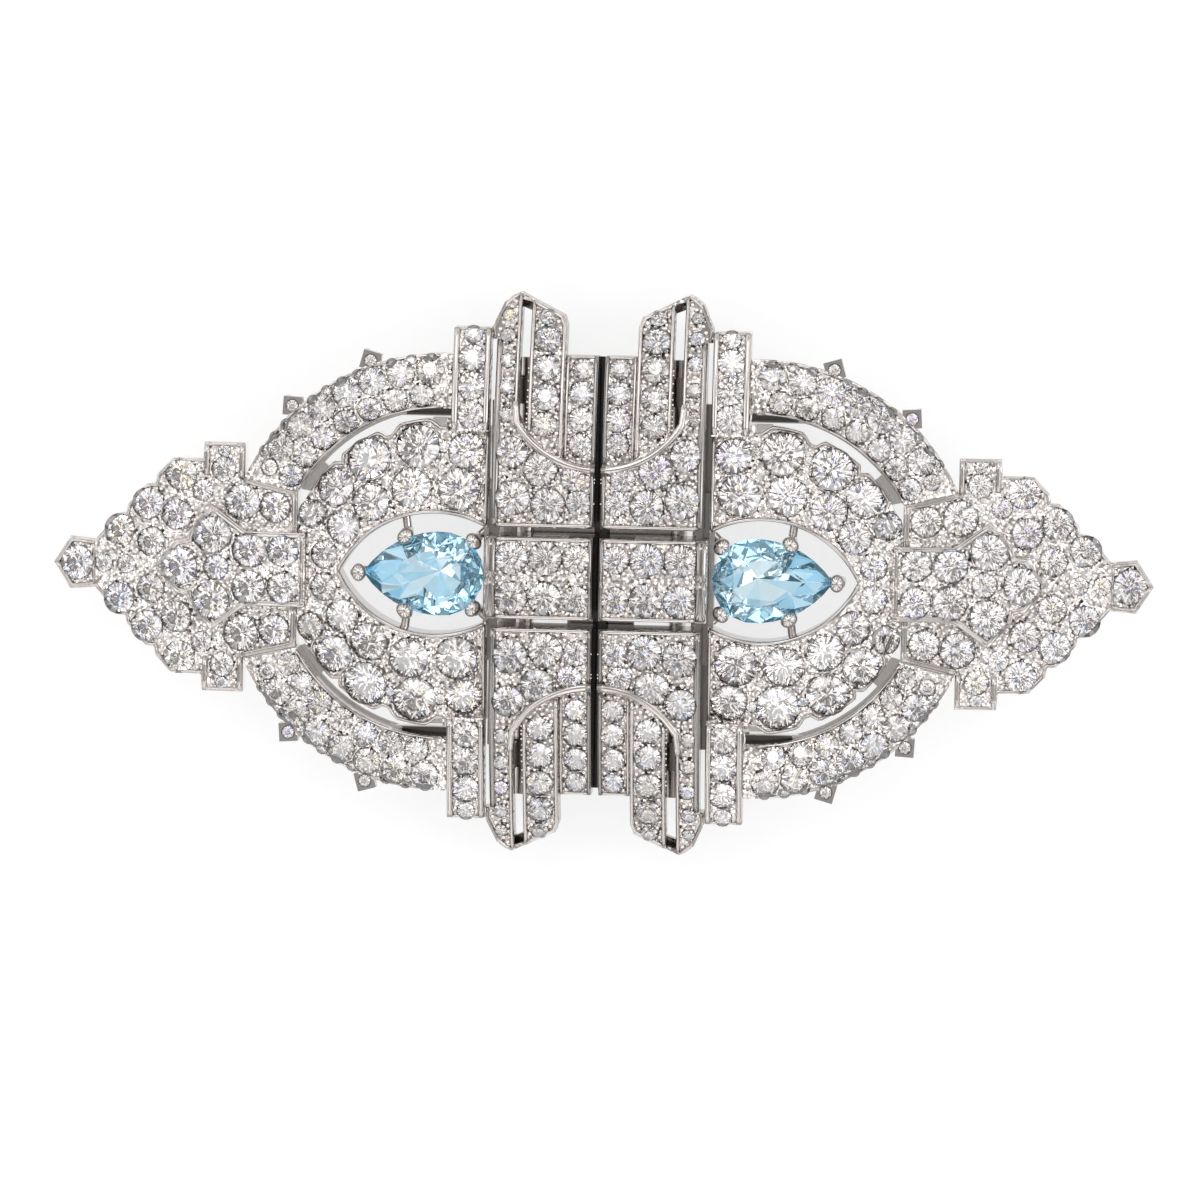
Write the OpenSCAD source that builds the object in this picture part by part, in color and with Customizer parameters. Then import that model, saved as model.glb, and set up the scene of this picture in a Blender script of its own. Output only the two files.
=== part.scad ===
// A pair of dress clips locked on a brooch frame, lying face up.
// X runs along the brooch, Y across it and Z out of its face. The origin is in the
// middle, on the surface that it lies on. Each clip is drawn on the +X side and
// mirrored for the other one. Every unit of a clip is symmetric about Y = 0, or is
// drawn on the +Y side and mirrored.

/* [Clips] */
// Gap between the two clips
clip_gap = 0.5; // [0.4:0.05:0.6]
// Gap kept where two units of a clip meet
seam = 0.05; // [0.04:0.01:0.06]
// Thickness of a pierced front plate
plate_t = 1.8; // [1.6:0.05:2]
// Level of the lower edge of the walls behind the plates
wall_z = 4.4; // [4.2:0.05:4.6]

/* [Leaf] */
// Level of the leaf's face where it meets the lunette
leaf_z = 6.6; // [6.4:0.05:6.8]
// Fall of the leaf towards its tip, in degrees
leaf_fall = 6; // [5:0.5:7]
// Height of the raised crest on the leaf
crest_h = 0.6; // [0.5:0.05:0.7]

/* [Lunette] */
// Distance of the lunette's and the arcs' centre from the gap
round_x = 11; // [11:0.01:11.05]
// Radius of the lunette's scalloped edge
lunette_r = 10.8; // [10.75:0.01:10.85]
// Radius of the sphere that the lunette's face follows
dome_r = 45; // [42:1:50]
// Level of the top of the lunette's dome
dome_z = 7.8; // [7.7:0.05:7.9]
// Radius of the sides of the pear-shaped opening
pear_side_r = 7.4; // [7.35:0.01:7.45]
// Half of the widest part of the pear-shaped opening
pear_half_w = 4.2; // [4.15:0.01:4.25]
// Level of a pillar's face at the lunette
pillar_z = 7.9; // [7.8:0.05:8]

/* [Arcs] */
// Radius of the middle of an arc band
arc_r = 13.4; // [13.38:0.01:13.42]
// Width of an arc band
arc_w = 3.8; // [3.76:0.01:3.84]
// Radius of an arc band's rounded face
arc_face_r = 3.2; // [3.1:0.05:3.4]
// Level of the top of an arc band
arc_z = 7.3; // [7.2:0.05:7.4]

/* [Fans] */
// Radius of the bend that takes a fan down towards its end
fan_bend_r = 34; // [33:0.5:36]
// Level of a fan's face beside the bridge
fan_z = 9; // [8.9:0.05:9.1]
// Radius of the curved rim between a fan's field and its strips
rim_r = 6.3; // [6.28:0.01:6.32]
// Width of that rim
rim_w = 0.5; // [0.45:0.01:0.55]
// Level of the top of the bridge
bridge_z = 9.7; // [9.6:0.05:9.8]
// Radius of the bridge's rounded face
bridge_bend_r = 14; // [13:0.5:16]

/* [Stones] */
// Size of a diamond against its hole's nominal size
stone_k = 0.92; // [0.9:0.01:0.93]
// Gap between a diamond's edge and the metal
seat_gap = 0.04; // [0.03:0.01:0.05]
// Height of a diamond above its edge, as a part of its radius
crown_k = 0.34; // [0.3:0.01:0.4]
// Depth of a diamond below its edge, as a part of its radius
pavilion_k = 0.8; // [0.7:0.01:0.85]
// Size of a diamond's table, as a part of its radius
table_k = 0.48; // [0.4:0.01:0.6]
// Level of an aquamarine's edge
aqua_z = 7.3; // [7.2:0.05:7.4]

/* [Fittings] */
// Distance of a rail of the brooch frame from the middle
rail_x = 5.35; // [5.3:0.01:5.4]
// Radius of a rail
rail_r = 0.6; // [0.55:0.01:0.65]
// Length of a rail
rail_l = 30.8; // [30:0.1:31]
// Level of a rail's axis
rail_z = 3.2; // [3.15:0.01:3.25]
// Radius of a clip lever's hinge rod
rod_r = 0.5; // [0.45:0.01:0.55]
// Thickness of a clip lever
lever_t = 0.9; // [0.8:0.05:1]

/* [Hidden] */
SIDES = ["left", "right"];
METAL_UNITS = ["leaf", "lunette", "upper_arc", "lower_arc", "fans", "clip_lever"];
STONE_UNITS = ["aquamarine", "leaf_diamonds", "lunette_diamonds", "upper_arc_diamonds",
               "lower_arc_diamonds", "fan_diamonds", "bridge_diamonds"];

$fn = 48;
METAL = "#B9B4AC";
DIAMOND = "#EEF1F4";
AQUA = "#8FCBE6";

// Outlines of the +Y half, from the inner end round to the tip: x, y
LEAF_HALF = [[20.65, 0], [20.65, 2.6], [21.15, 2.6], [21.15, 5.45], [24.95, 6.35],
             [24.95, 8.75], [27.85, 8.75], [27.95, 7.6], [30.1, 7.55], [31.2, 6.4],
             [31.35, 5.75], [31.95, 5.7], [33.3, 4.2], [33.4, 3.65], [34, 3.55],
             [35.6, 1.7], [37.4, 1.87], [38.6, 0]];
CREST_HALF = [[20.55, 0], [20.55, 2.6], [24.7, 2.6], [27.2, 4.4], [28.75, 2.6],
              [28.95, 2], [29.75, 1.85], [31.2, 0]];

// Diamonds of a leaf: x, y, r
LEAF_AXIS = [[36.95, 0, 1.15], [35.05, 0, 0.6], [33.4, 0, 0.6], [29.45, 0, 1.2],
             [26.85, 0, 0.8]];
LEAF_STONES = [[33.85, 2.45, 1], [31.87, 4.33, 1.02], [29.5, 6.45, 1.12], [31.6, 1.65, 0.9],
               [29.75, 3.6, 1], [27.95, 5.35, 0.72], [26.45, 6.85, 0.8], [26.45, 8.2, 0.42],
               [27.15, 2.3, 1.2], [24.5, 1.3, 1.1], [22.1, 1.3, 1], [25.1, 4.6, 1.15],
               [22.75, 4.3, 1]];
// Which of those stand on the crest: rows of the two lists
CREST_AXIS = [3, 4];
CREST_STONES = [8, 9, 10];

// Diamonds of a lunette: x, y, r
LUNETTE_STONES = [[9.3, 8.6, 1.15], [12.7, 8.85, 1.4], [16.15, 7.85, 1.35], [18.45, 5.85, 1.15],
                  [20.1, 3.95, 0.9], [9.75, 5.9, 1.35], [13.1, 5.95, 1.27],
                  [15.95, 4.9, 1.15], [17.85, 3.15, 1.05], [19.2, 1.15, 0.85]];
// Rows of that list beside the scalloped edge
EDGE_STONES = [1, 2, 3];
// Diamonds of a pillar: x, y, r
PILLAR_STONES = [[9, 11.2, 0.92], [9, 13.15, 0.95], [9, 15.1, 0.9], [9, 16.7, 0.6]];

// Diamonds of an arc: angle from +Y towards +X, offset from the band's middle, r
ARC_STONES = [[3.7, 0.8, 0.87], [12.2, 0.8, 0.87], [20.5, 0.8, 0.87], [28.6, 0.8, 0.87],
              [36.7, 0.8, 0.87], [44.8, 0.8, 0.87], [52.9, 0.8, 0.87],
              [6.8, -0.95, 0.76], [15.6, -0.95, 0.76], [24.4, -0.95, 0.76],
              [33.2, -0.95, 0.76], [42, -0.95, 0.76], [50.2, -0.95, 0.74],
              [58, -0.95, 0.72]];

// Angles of the smallest diamonds along an arc's outer edge
ARC_EDGE_ANGLES = [3.4, 8.75, 14.1, 23.7, 28.4, 33.1, 37.7, 47.3, 51.9, 56.4];
// Smallest diamonds of an arc: angle, offset, r
ARC_SMALL = concat([for (a = ARC_EDGE_ANGLES) [a, 1.62, 0.46]], [[59.4, 0.62, 0.62]]);
// Smallest diamonds of a lunette: x, y, r
LUNETTE_SMALL = [[10.92, 8.85, 0.38], [14.47, 8.4, 0.33]];
// Smallest diamonds of a fan, on its outer strip: x, y, r
FAN_SMALL = [[6.55, 11.2, 0.5], [6.55, 13.1, 0.52], [6.55, 14.95, 0.52], [6.6, 16.65, 0.5],
             [6.6, 18.05, 0.42]];

// Square studs on an arc's outer edge: angle, turn against the band
STUDS = [[19.3, 35], [42.8, 46.5]];
STUD_W = 1.3;
STUD_R = 15.6;
// Windows in an arc's outer wall: first angle, step, how many
WINDOWS = [2, 7.6, 8];

// Outline of a fan's field and of its outer strip: x, y
FIELD = [[0, 3.5], [7.35, 3.5], [7.35, 16.4], [7.68, 16.4], [7.68, 17.3], [6.95, 18.95],
         [6.35, 19.45], [5.9, 19.65], [5.7, 19.57], [5.7, 14.1], [0, 14.1]];
MIDDLE_STRIP = [[2.5, 8], [5, 8], [5, 19.2], [2.75, 18.1], [2.5, 17.4]];
INNER_STRIP = [[0, 7.5], [2.6, 7.5], [2.6, 15.35], [0, 15.35]];
END_BAR = [[4.9, 18.95], [5.8, 19.2], [5.8, 19.6], [4.9, 19.14]];
END_LEDGE = [[4.8, 18.25], [5.9, 18.7], [5.9, 19.5], [4.8, 19]];
// Inner edge of the outer strip, beside the slot between the strips
SLOT_X = 5.7;
// Walls beside the gap stand back a little from it
GAP_WALL_X = clip_gap / 2 + 0.03;
// Centre of the curved rim
RIM_C = [0.1, 14.1];
// Edges of the bridge and the slot beside it: y
BRIDGE_Y = 2.85;
SLOT_Y = 3.5;
BRIDGE_X = 7.7;

// Diamonds of a fan: x, y, r, surface (0 field, 1 middle strip, 2 inner strip)
FAN_STONES = [[6.05, 8.65, 1.02, 0], [4, 7.55, 1.1, 0], [1.75, 6.95, 0.85, 0],
              [5.9, 5.5, 1.13, 0], [3.45, 5.05, 1.15, 0], [1.35, 5.25, 0.85, 0],
              [3.8, 10.6, 0.8, 1], [3.8, 12.5, 0.85, 1], [3.8, 14.5, 0.85, 1],
              [3.8, 16.45, 0.85, 1], [3.85, 18.02, 0.55, 1],
              [1.3, 9.25, 0.72, 2], [1.3, 11, 0.78, 2], [1.3, 12.8, 0.78, 2],
              [1.3, 14.45, 0.68, 2]];
// Height of each of those surfaces above the field
STRIP_RISE = [0, 0.2, -0.3];
// Diamonds of the bridge: x, y, r
BRIDGE_STONES = [[1.35, 1.4, 0.95], [3.5, 1.4, 1.15], [5.85, 1.4, 1.1]];

// Aquamarine: centre of the round end, half width, tip
AQUA_X = 10.9;
AQUA_HALF_W = 2.95;
AQUA_TIP = 16.4;
AQUA_MID_X = AQUA_X + 0.5;
AQUA_STEPS = 20;
// Claws round the aquamarine: x and y of the bead, x and y of the strut's far end
CLAWS = [[13.4, 2.6, 13.6, 4.05], [8.65, 2.35, 7.95, 3.05], [16.65, 0, 16.95, 0]];

STRAIGHT_X = 7.7 + seam;
PILLAR_W = 2.6;
ARC_START_X = STRAIGHT_X + PILLAR_W + seam;
PILLAR_START = 10.02;
PILLAR_END = 17.2;
GIRDLE_SINK = 0.08;
// Height of the ledges in the gap between the lunette and the arcs
LEDGE_H = 0.35;

// Vectors and placing

function unit(v) = v / norm(v);
function across(n) = unit(cross([0, 1, 0], n));
function place(p, n, q) = p + q[0] * across(n) + q[1] * cross(n, across(n)) + q[2] * n;
function flip_y(p) = [p[0], -p[1], p[2]];
function flip_x(p) = [-p[0], p[1], p[2]];

// Moves children from a stone's own frame to a point with an outward direction
module stand_at(p, n) {
    u = across(n);
    v = cross(n, u);
    multmatrix([[u[0], v[0], n[0], p[0]], [u[1], v[1], n[1], p[1]],
                [u[2], v[2], n[2], p[2]], [0, 0, 0, 1]])
        children();
}

module on_side(side) {
    if (side == "right") children();
    else mirror([1, 0, 0]) children();
}

module both_halves() {
    children();
    mirror([0, 1, 0]) children();
}

// A whole outline from its +Y half, whose first and last points lie on Y = 0
function closed(half) =
    concat(half, [for (i = [len(half) - 2:-1:1]) [half[i][0], -half[i][1]]]);

// A stone seat is a point on the metal, the direction out of it and a radius

function seat(p, n, r) = [p - GIRDLE_SINK * n, n, r * stone_k];
function seat_flip_y(s) = [flip_y(s[0]), flip_y(s[1]), s[2]];
function seat_flip_x(s) = [flip_x(s[0]), flip_x(s[1]), s[2]];
function with_lower(seats) = concat(seats, [for (s = seats) seat_flip_y(s)]);

// Seats on a cylinder that bends down past y0
function bend_seat(x, y, r, top, bend, y0) =
    let (n = [0, (y - y0) / bend, sqrt(1 - pow((y - y0) / bend, 2))])
    seat([x, y, top - bend + bend * n[2]], n, r);

function dome_seat(x, y, r) =
    let (c = [round_x, 0, dome_z - dome_r], d = norm([x - round_x, y]))
    let (p = [x, y, c[2] + sqrt(dome_r * dome_r - d * d)])
    seat(p, (p - c) / dome_r, r);

function arc_seat(a, o, r) =
    let (out = [sin(a), cos(a), 0], rise = sqrt(arc_face_r * arc_face_r - o * o))
    let (n = (out * o + [0, 0, rise]) / arc_face_r)
    let (ring = [round_x, 0, arc_z - arc_face_r] + out * arc_r)
    seat(ring + n * arc_face_r, n, r);

LEAF_X = 20.55;
LEAF_OUT = [sin(leaf_fall), 0, cos(leaf_fall)];
function leaf_seat(x, y, r, rise) =
    seat([x, y, leaf_z - (x - LEAF_X) * tan(leaf_fall) + rise / cos(leaf_fall)], LEAF_OUT, r);

function holds(list, v) = len([for (i = list) if (i == v) i]) > 0;

LEAF_SEATS = concat(
    [for (i = [0:len(LEAF_AXIS) - 1]) let (s = LEAF_AXIS[i])
        leaf_seat(s[0], 0, s[2], holds(CREST_AXIS, i) ? crest_h : 0)],
    with_lower([for (i = [0:len(LEAF_STONES) - 1]) let (s = LEAF_STONES[i])
        leaf_seat(s[0], s[1], s[2], holds(CREST_STONES, i) ? crest_h : 0)]));
PILLAR_BEND_R = 24;
PILLAR_Y0 = 9;
LUNETTE_SEATS = with_lower(concat(
    [for (s = LUNETTE_STONES) dome_seat(s[0], s[1], s[2])],
    [for (s = PILLAR_STONES) bend_seat(s[0], s[1], s[2], pillar_z, PILLAR_BEND_R, PILLAR_Y0)]));
LUNETTE_PITS = with_lower([for (s = LUNETTE_SMALL) dome_seat(s[0], s[1], s[2])]);
UPPER_ARC_SEATS = [for (s = ARC_STONES) arc_seat(s[0], s[1], s[2])];
UPPER_ARC_PITS = [for (s = ARC_SMALL) arc_seat(s[0], s[1], s[2])];
LOWER_ARC_SEATS = [for (s = UPPER_ARC_SEATS) seat_flip_y(s)];
FAN_SEATS = with_lower([for (s = FAN_STONES)
    bend_seat(s[0], s[1], s[2], fan_z + STRIP_RISE[s[3]], fan_bend_r + STRIP_RISE[s[3]], SLOT_Y)]);
FAN_PITS = with_lower([for (s = FAN_SMALL)
    bend_seat(s[0], s[1], s[2], fan_z, fan_bend_r, SLOT_Y)]);
BRIDGE_SEATS = with_lower([for (s = BRIDGE_STONES)
    bend_seat(s[0], s[1], s[2], bridge_z, bridge_bend_r, 0)]);

PIT_DEPTH_K = 0.85;
// Pits for the smallest diamonds, which the visual model holds
module pits(list) {
    above = 0.3;
    for (s = list)
        stand_at(s[0], s[1])
            translate([0, 0, -PIT_DEPTH_K * s[2]])
                cylinder(h = PIT_DEPTH_K * s[2] + above, r1 = 0.2 * s[2], r2 = 1.25 * s[2]);
}

// Cuts one tapered hole for each stone, open at the back
module seats(list) {
    below = plate_t + 1;
    above = 0.6;
    throat_k = 0.5;
    flare_k = 1 + 0.3 * above / below;
    for (s = list)
        stand_at(s[0], s[1])
            translate([0, 0, -below])
                cylinder(h = below + above, r1 = throat_k * s[2],
                         r2 = s[2] + seat_gap * flare_k + (flare_k - 1) * s[2]);
}

// An old-cut diamond: table, sixteen crown facets and eight pavilion facets, with its
// edge in the XY plane of its seat
STONE_SIDES = 8;
function stone_points(s) = concat(
    [for (i = [0:STONE_SIDES - 1]) let (a = (i + 0.5) * 360 / STONE_SIDES)
        place(s[0], s[1], s[2] * [table_k * cos(a), table_k * sin(a), crown_k])],
    [for (i = [0:STONE_SIDES - 1]) let (a = i * 360 / STONE_SIDES)
        place(s[0], s[1], s[2] * [cos(a), sin(a), 0])],
    [place(s[0], s[1], s[2] * [0, 0, -pavilion_k])]);
function stone_faces(o) = let (n = STONE_SIDES) concat(
    [[for (i = [n - 1:-1:0]) o + i]],
    [for (i = [0:n - 1]) let (j = (i + 1) % n) each [
        [o + i, o + n + j, o + n + i],
        [o + i, o + j, o + n + j],
        [o + n + i, o + n + j, o + 2 * n]]]);

module diamonds(list) {
    per = 2 * STONE_SIDES + 1;
    color(DIAMOND)
        polyhedron(points = [for (s = list) each stone_points(s)],
                   faces = [for (k = [0:len(list) - 1]) each stone_faces(k * per)]);
}

module stones_for(side, list) {
    diamonds(side == "right" ? list : [for (s = list) seat_flip_x(s)]);
}

// Solids between two levels of a surface, shared by the plates

// Farther from the middle and higher than any plate that is cut out of a shell
BEYOND = 12;

// A shell bent about X: its top at z = top and y = y0
module bent_shell(top, bend, y0, t) {
    translate([0, y0, top - bend]) rotate([0, 90, 0])
        difference() {
            cylinder(h = BEYOND, r = bend);
            translate([0, 0, -1]) cylinder(h = BEYOND + 2, r = bend - t);
        }
}

// An upright prism through every level that the plates have
module prism() {
    linear_extrude(BEYOND) children();
}

// Leaf

// The space between two levels above the leaf's face
module leaf_slab(low, high) {
    translate([LEAF_X, 0, leaf_z]) rotate([0, leaf_fall, 0])
        translate([-1, -BEYOND, low]) cube([22, 2 * BEYOND, high - low]);
}

module leaf(side) {
    lug_y = 1.8;
    lug_t = 0.8;
    rod_l = 2 * (lug_y + lug_t - 0.1);
    color(METAL) on_side(side) difference() {
        union() {
            intersection() {
                prism() polygon(closed(LEAF_HALF));
                leaf_slab(-plate_t, 0);
            }
            intersection() {
                prism() polygon(closed(CREST_HALF));
                leaf_slab(-plate_t / 2, crest_h);
            }
            both_halves() translate([HINGE_X - 1, lug_y, HINGE_Z - 1])
                cube([2, lug_t, wall_z + 0.4 - (HINGE_Z - 1)]);
            translate([HINGE_X, rod_l / 2, HINGE_Z]) rotate([90, 0, 0])
                cylinder(h = rod_l, r = rod_r);
        }
        seats(LEAF_SEATS);
    }
}

// Lunette with its two pillars and the claws of the aquamarine

module pear_opening(grow = 0) {
    widest_x = round_x + 0.4;
    intersection() {
        translate([widest_x, pear_half_w - pear_side_r]) circle(pear_side_r + grow);
        translate([widest_x, pear_side_r - pear_half_w]) circle(pear_side_r + grow);
        translate([STRAIGHT_X - 1, -8]) square([16, 16]);
    }
}

module lunette_region() {
    polygon([[STRAIGHT_X, -11], [22.5, -11], [22.5, -5.9], [21.1, -5.45], [21.1, -2.65],
             [20.5, -2.65], [20.5, 2.65], [21.1, 2.65], [21.1, 5.45], [22.5, 5.9],
             [22.5, 11], [STRAIGHT_X, 11]]);
}

// The scallops bulge out to the full radius around the stones of the edge
module lunette_outline() {
    scallop_depth = 0.55;
    scallop_wall = 0.62;
    intersection() {
        translate([round_x, 0]) circle(lunette_r);
        lunette_region();
        union() {
            translate([round_x, 0]) circle(lunette_r - scallop_depth);
            both_halves() for (i = EDGE_STONES) let (s = LUNETTE_STONES[i])
                translate([s[0], s[1]]) circle(s[2] + scallop_wall);
            both_halves() translate([STRAIGHT_X, 6]) square([3, 6]);
            translate([18.6, -5.6]) square([4, 11.2]);
        }
    }
}

// A post outside the stone, a bead over its edge and a strut from the basket's ring to
// the opening's edge. The claw at the stone's tip stands on the ring alone.
BASKET_Z = 5.85;
module claw(c) {
    post_r = 0.34;
    post_out = 0.25;
    post_z = BASKET_Z - 0.4;
    bead_r = 0.5;
    bead_z = aqua_z + 0.62;
    strut_r = 0.3;
    strut_in = 0.75;
    bead = [c[0], c[1]];
    out = unit([c[2], c[3]] - bead);
    post = bead + post_out * out;
    strut = bead - strut_in * out;
    translate([post[0], post[1], post_z]) cylinder(h = bead_z - post_z, r = post_r);
    translate([bead[0], bead[1], bead_z]) sphere(r = bead_r);
    translate([strut[0], strut[1], BASKET_Z]) rotate([0, 90, atan2(out[1], out[0])])
        cylinder(h = strut_in + norm([c[2], c[3]] - bead), r = strut_r);
}

// Ring under the aquamarine that joins the claws
module basket_ring() {
    outer_k = 0.92;
    inner_k = 0.8;
    ring_h = 0.5;
    centre = [AQUA_MID_X, 0];
    translate([0, 0, BASKET_Z - ring_h / 2]) linear_extrude(ring_h) difference() {
        polygon([for (p = pear_edge()) centre + outer_k * (p - centre)]);
        polygon([for (p = pear_edge()) centre + inner_k * (p - centre)]);
    }
}

// The wall behind the lunette's edge and the collet round the pear-shaped opening
module lunette_walls() {
    wall_t = 0.5;
    wall_out_r = lunette_r - 0.65;
    wall_h = 1.6;
    collet_t = 0.45;
    collet_z = wall_z + 0.4;
    bar_t = 0.32;
    bar_half_l = 3.6;
    // Floor of the corner beside the pillar: place and size
    corner_at = [10, 9.6];
    corner = [1.9, 1.2];
    translate([0, 0, wall_z]) linear_extrude(wall_h) intersection() {
        lunette_region();
        translate([round_x, 0]) difference() {
            circle(wall_out_r);
            circle(wall_out_r - wall_t);
        }
    }
    translate([0, 0, collet_z]) linear_extrude(2) intersection() {
        difference() { pear_opening(collet_t); pear_opening(0.02); }
        lunette_region();
    }
    translate([STRAIGHT_X, -bar_half_l, collet_z]) cube([bar_t, 2 * bar_half_l, wall_h]);
    both_halves() translate([each corner_at, wall_z]) cube([each corner, LEDGE_H]);
}

module lunette(side) {
    color(METAL) on_side(side) difference() {
        union() {
            intersection() {
                prism() difference() { lunette_outline(); pear_opening(); }
                translate([round_x, 0, dome_z - dome_r]) difference() {
                    sphere(r = dome_r, $fn = 128);
                    sphere(r = dome_r - plate_t, $fn = 128);
                }
            }
            lunette_walls();
            both_halves() intersection() {
                prism() translate([STRAIGHT_X, PILLAR_START])
                    square([PILLAR_W, PILLAR_END - PILLAR_START]);
                bent_shell(pillar_z, PILLAR_BEND_R, PILLAR_Y0, plate_t);
            }
            basket_ring();
            claw(CLAWS[2]);
            both_halves() for (i = [0, 1]) claw(CLAWS[i]);
        }
        seats(LUNETTE_SEATS);
        pits(LUNETTE_PITS);
    }
}

// Arc bands

module arc_region() {
    polygon([[ARC_START_X, 9], [ARC_START_X, 16.5],
             [24.9, 16.5], [24.9, 6.4], [19.6, 5.15]]);
}

// Rounded face, two walls and the ledge along the foot of the inner wall
module arc_profile() {
    in_r = arc_r - arc_w / 2;
    out_r = arc_r + arc_w / 2;
    centre_z = arc_z - arc_face_r;
    wall_t = 0.5;
    wall_h = arc_z - wall_z - 0.8;
    inset = 0.02;
    ledge_w = 0.2;
    intersection() {
        difference() {
            translate([arc_r, centre_z]) circle(arc_face_r);
            translate([arc_r, centre_z]) circle(arc_face_r - plate_t);
        }
        translate([in_r, centre_z + 1]) square([arc_w, 4]);
    }
    translate([in_r + inset, wall_z]) square([wall_t, wall_h]);
    translate([out_r - wall_t - inset, wall_z]) square([wall_t, wall_h]);
    translate([in_r - ledge_w, wall_z]) square([ledge_w + 0.2, LEDGE_H]);
}

// Wide ledge that closes the gap near the leaf, just below the lunette's edge
module end_ledge_profile() {
    inner_r = 10.3;
    outer_r = arc_r - arc_w / 2 + 0.3;
    drop = 0.35;
    ledge_h = 0.5;
    translate([inner_r, wall_z - drop]) square([outer_r - inner_r, ledge_h]);
}

// Moves children from the gap's side of the arc's centre to an angle on the band
module at_angle(a) { translate([round_x, 0, 0]) rotate([0, 0, -a]) children(); }

module arc_band() {
    stud_z = wall_z + 0.6;
    stud_top = arc_z - 0.5;
    window_w = 1.2;
    window_h = 0.9;
    window_z = wall_z + 0.45;
    cell = [3, 0.85];
    cell_y = 10.95;
    bar = [4.5, 0.22, 1.1];
    bar_y = 10.9;
    // Angles from +X: start of the sweep, its length and that of the wide ledge
    sweep_from = 15;
    sweep = 90;
    end_ledge_sweep = 26;
    difference() {
        union() {
            intersection() {
                translate([round_x, 0, 0]) rotate([0, 0, sweep_from]) {
                    rotate_extrude(angle = sweep) arc_profile();
                    rotate_extrude(angle = end_ledge_sweep) end_ledge_profile();
                }
                prism() arc_region();
            }
            // Floor and bar of the cell beside the pillar
            translate([ARC_START_X, cell_y, wall_z]) cube([each cell, LEDGE_H]);
            translate([ARC_START_X, bar_y, wall_z]) cube(bar);
            for (s = STUDS) at_angle(s[0]) translate([0, STUD_R, stud_z])
                rotate([0, 0, s[1]]) translate([-STUD_W / 2, -STUD_W / 2, 0])
                    cube([STUD_W, STUD_W, stud_top - stud_z]);
        }
        for (i = [0:WINDOWS[2] - 1]) at_angle(WINDOWS[0] + i * WINDOWS[1])
            translate([-window_w / 2, arc_r + arc_w / 2 - 0.8, window_z])
                cube([window_w, 2, window_h]);
        for (s = STUDS) at_angle(s[0]) translate([0, STUD_R, stud_top - 0.5])
            cylinder(h = 1, r1 = 0.2, r2 = 0.75);
        seats(UPPER_ARC_SEATS);
        pits(UPPER_ARC_PITS);
    }
}

module upper_arc(side) { color(METAL) on_side(side) arc_band(); }
module lower_arc(side) { color(METAL) on_side(side) mirror([0, 1, 0]) arc_band(); }

// The two fans and the bridge between them

module rim_disc(r) { translate(RIM_C) circle(r); }

// The part of a strip that lies beyond the rim
module beyond_rim(r) {
    difference() {
        children();
        difference() {
            translate([-1, 0]) square([8, RIM_C[1]]);
            rim_disc(r);
        }
    }
}

module right_of_gap() {
    intersection() {
        children();
        translate([clip_gap / 2, -2 * BEYOND]) square([BEYOND, 4 * BEYOND]);
    }
}

module fan_shell(rise, t = plate_t) {
    bent_shell(fan_z + rise, fan_bend_r + rise, SLOT_Y, t);
}

module fan_half() {
    rim_rise = 0.35;
    ledge_drop = 0.9;
    // Field, outer strip and the bar that closes the slot's end
    intersection() {
        prism() right_of_gap() difference() {
            union() { polygon(FIELD); polygon(END_BAR); }
            intersection() {
                rim_disc(rim_r);
                translate([-1, 0]) square([SLOT_X + 1, RIM_C[1] + 0.1]);
            }
        }
        fan_shell(0);
    }
    intersection() {
        prism() right_of_gap() intersection() {
            difference() { rim_disc(rim_r + rim_w); rim_disc(rim_r); }
            square([SLOT_X + rim_w, RIM_C[1] - 1.5]);
        }
        fan_shell(rim_rise);
    }
    intersection() {
        prism() beyond_rim(rim_r + 0.2) polygon(MIDDLE_STRIP);
        fan_shell(STRIP_RISE[1], plate_t + 0.1);
    }
    intersection() {
        prism() right_of_gap() beyond_rim(rim_r + 0.25) polygon(INNER_STRIP);
        fan_shell(STRIP_RISE[2], plate_t - 0.2);
    }
    // Ledge under the slot's outer end
    intersection() {
        prism() polygon(END_LEDGE);
        fan_shell(-ledge_drop, plate_t - 1);
    }
    fan_side_walls();
    rail_sleeve();
}

// Walls behind the outer strip, beside the gap and beside the bridge, up into the shell,
// and a stepped ledge that closes the seam between the outer strip and the lunette
module fan_side_walls() {
    wall_t = 0.5;
    outer_x = 6.8;
    outer_l = 16.3;
    inner_l = 11;
    wall_h = fan_z - wall_z;
    slot_wall_y = SLOT_Y + 0.03;
    seam_ledge_x = outer_x + wall_t - 0.05;
    seam_ledge_w = BRIDGE_X - seam_ledge_x;
    intersection() {
        union() {
            translate([outer_x, 0, wall_z]) cube([wall_t, outer_l, wall_h]);
            translate([GAP_WALL_X, slot_wall_y, wall_z]) cube([wall_t, inner_l, wall_h]);
            translate([GAP_WALL_X, slot_wall_y, wall_z])
                cube([outer_x + wall_t - GAP_WALL_X, wall_t, wall_h]);
        }
        translate([0, SLOT_Y, fan_z - fan_bend_r]) rotate([0, 90, 0])
            cylinder(h = BEYOND, r = fan_bend_r - 0.7);
    }
    translate([seam_ledge_x, 0, wall_z]) cube([seam_ledge_w, 12.1, 1]);
    translate([seam_ledge_x, 0, wall_z]) cube([seam_ledge_w, 6, 2.5]);
}

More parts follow.
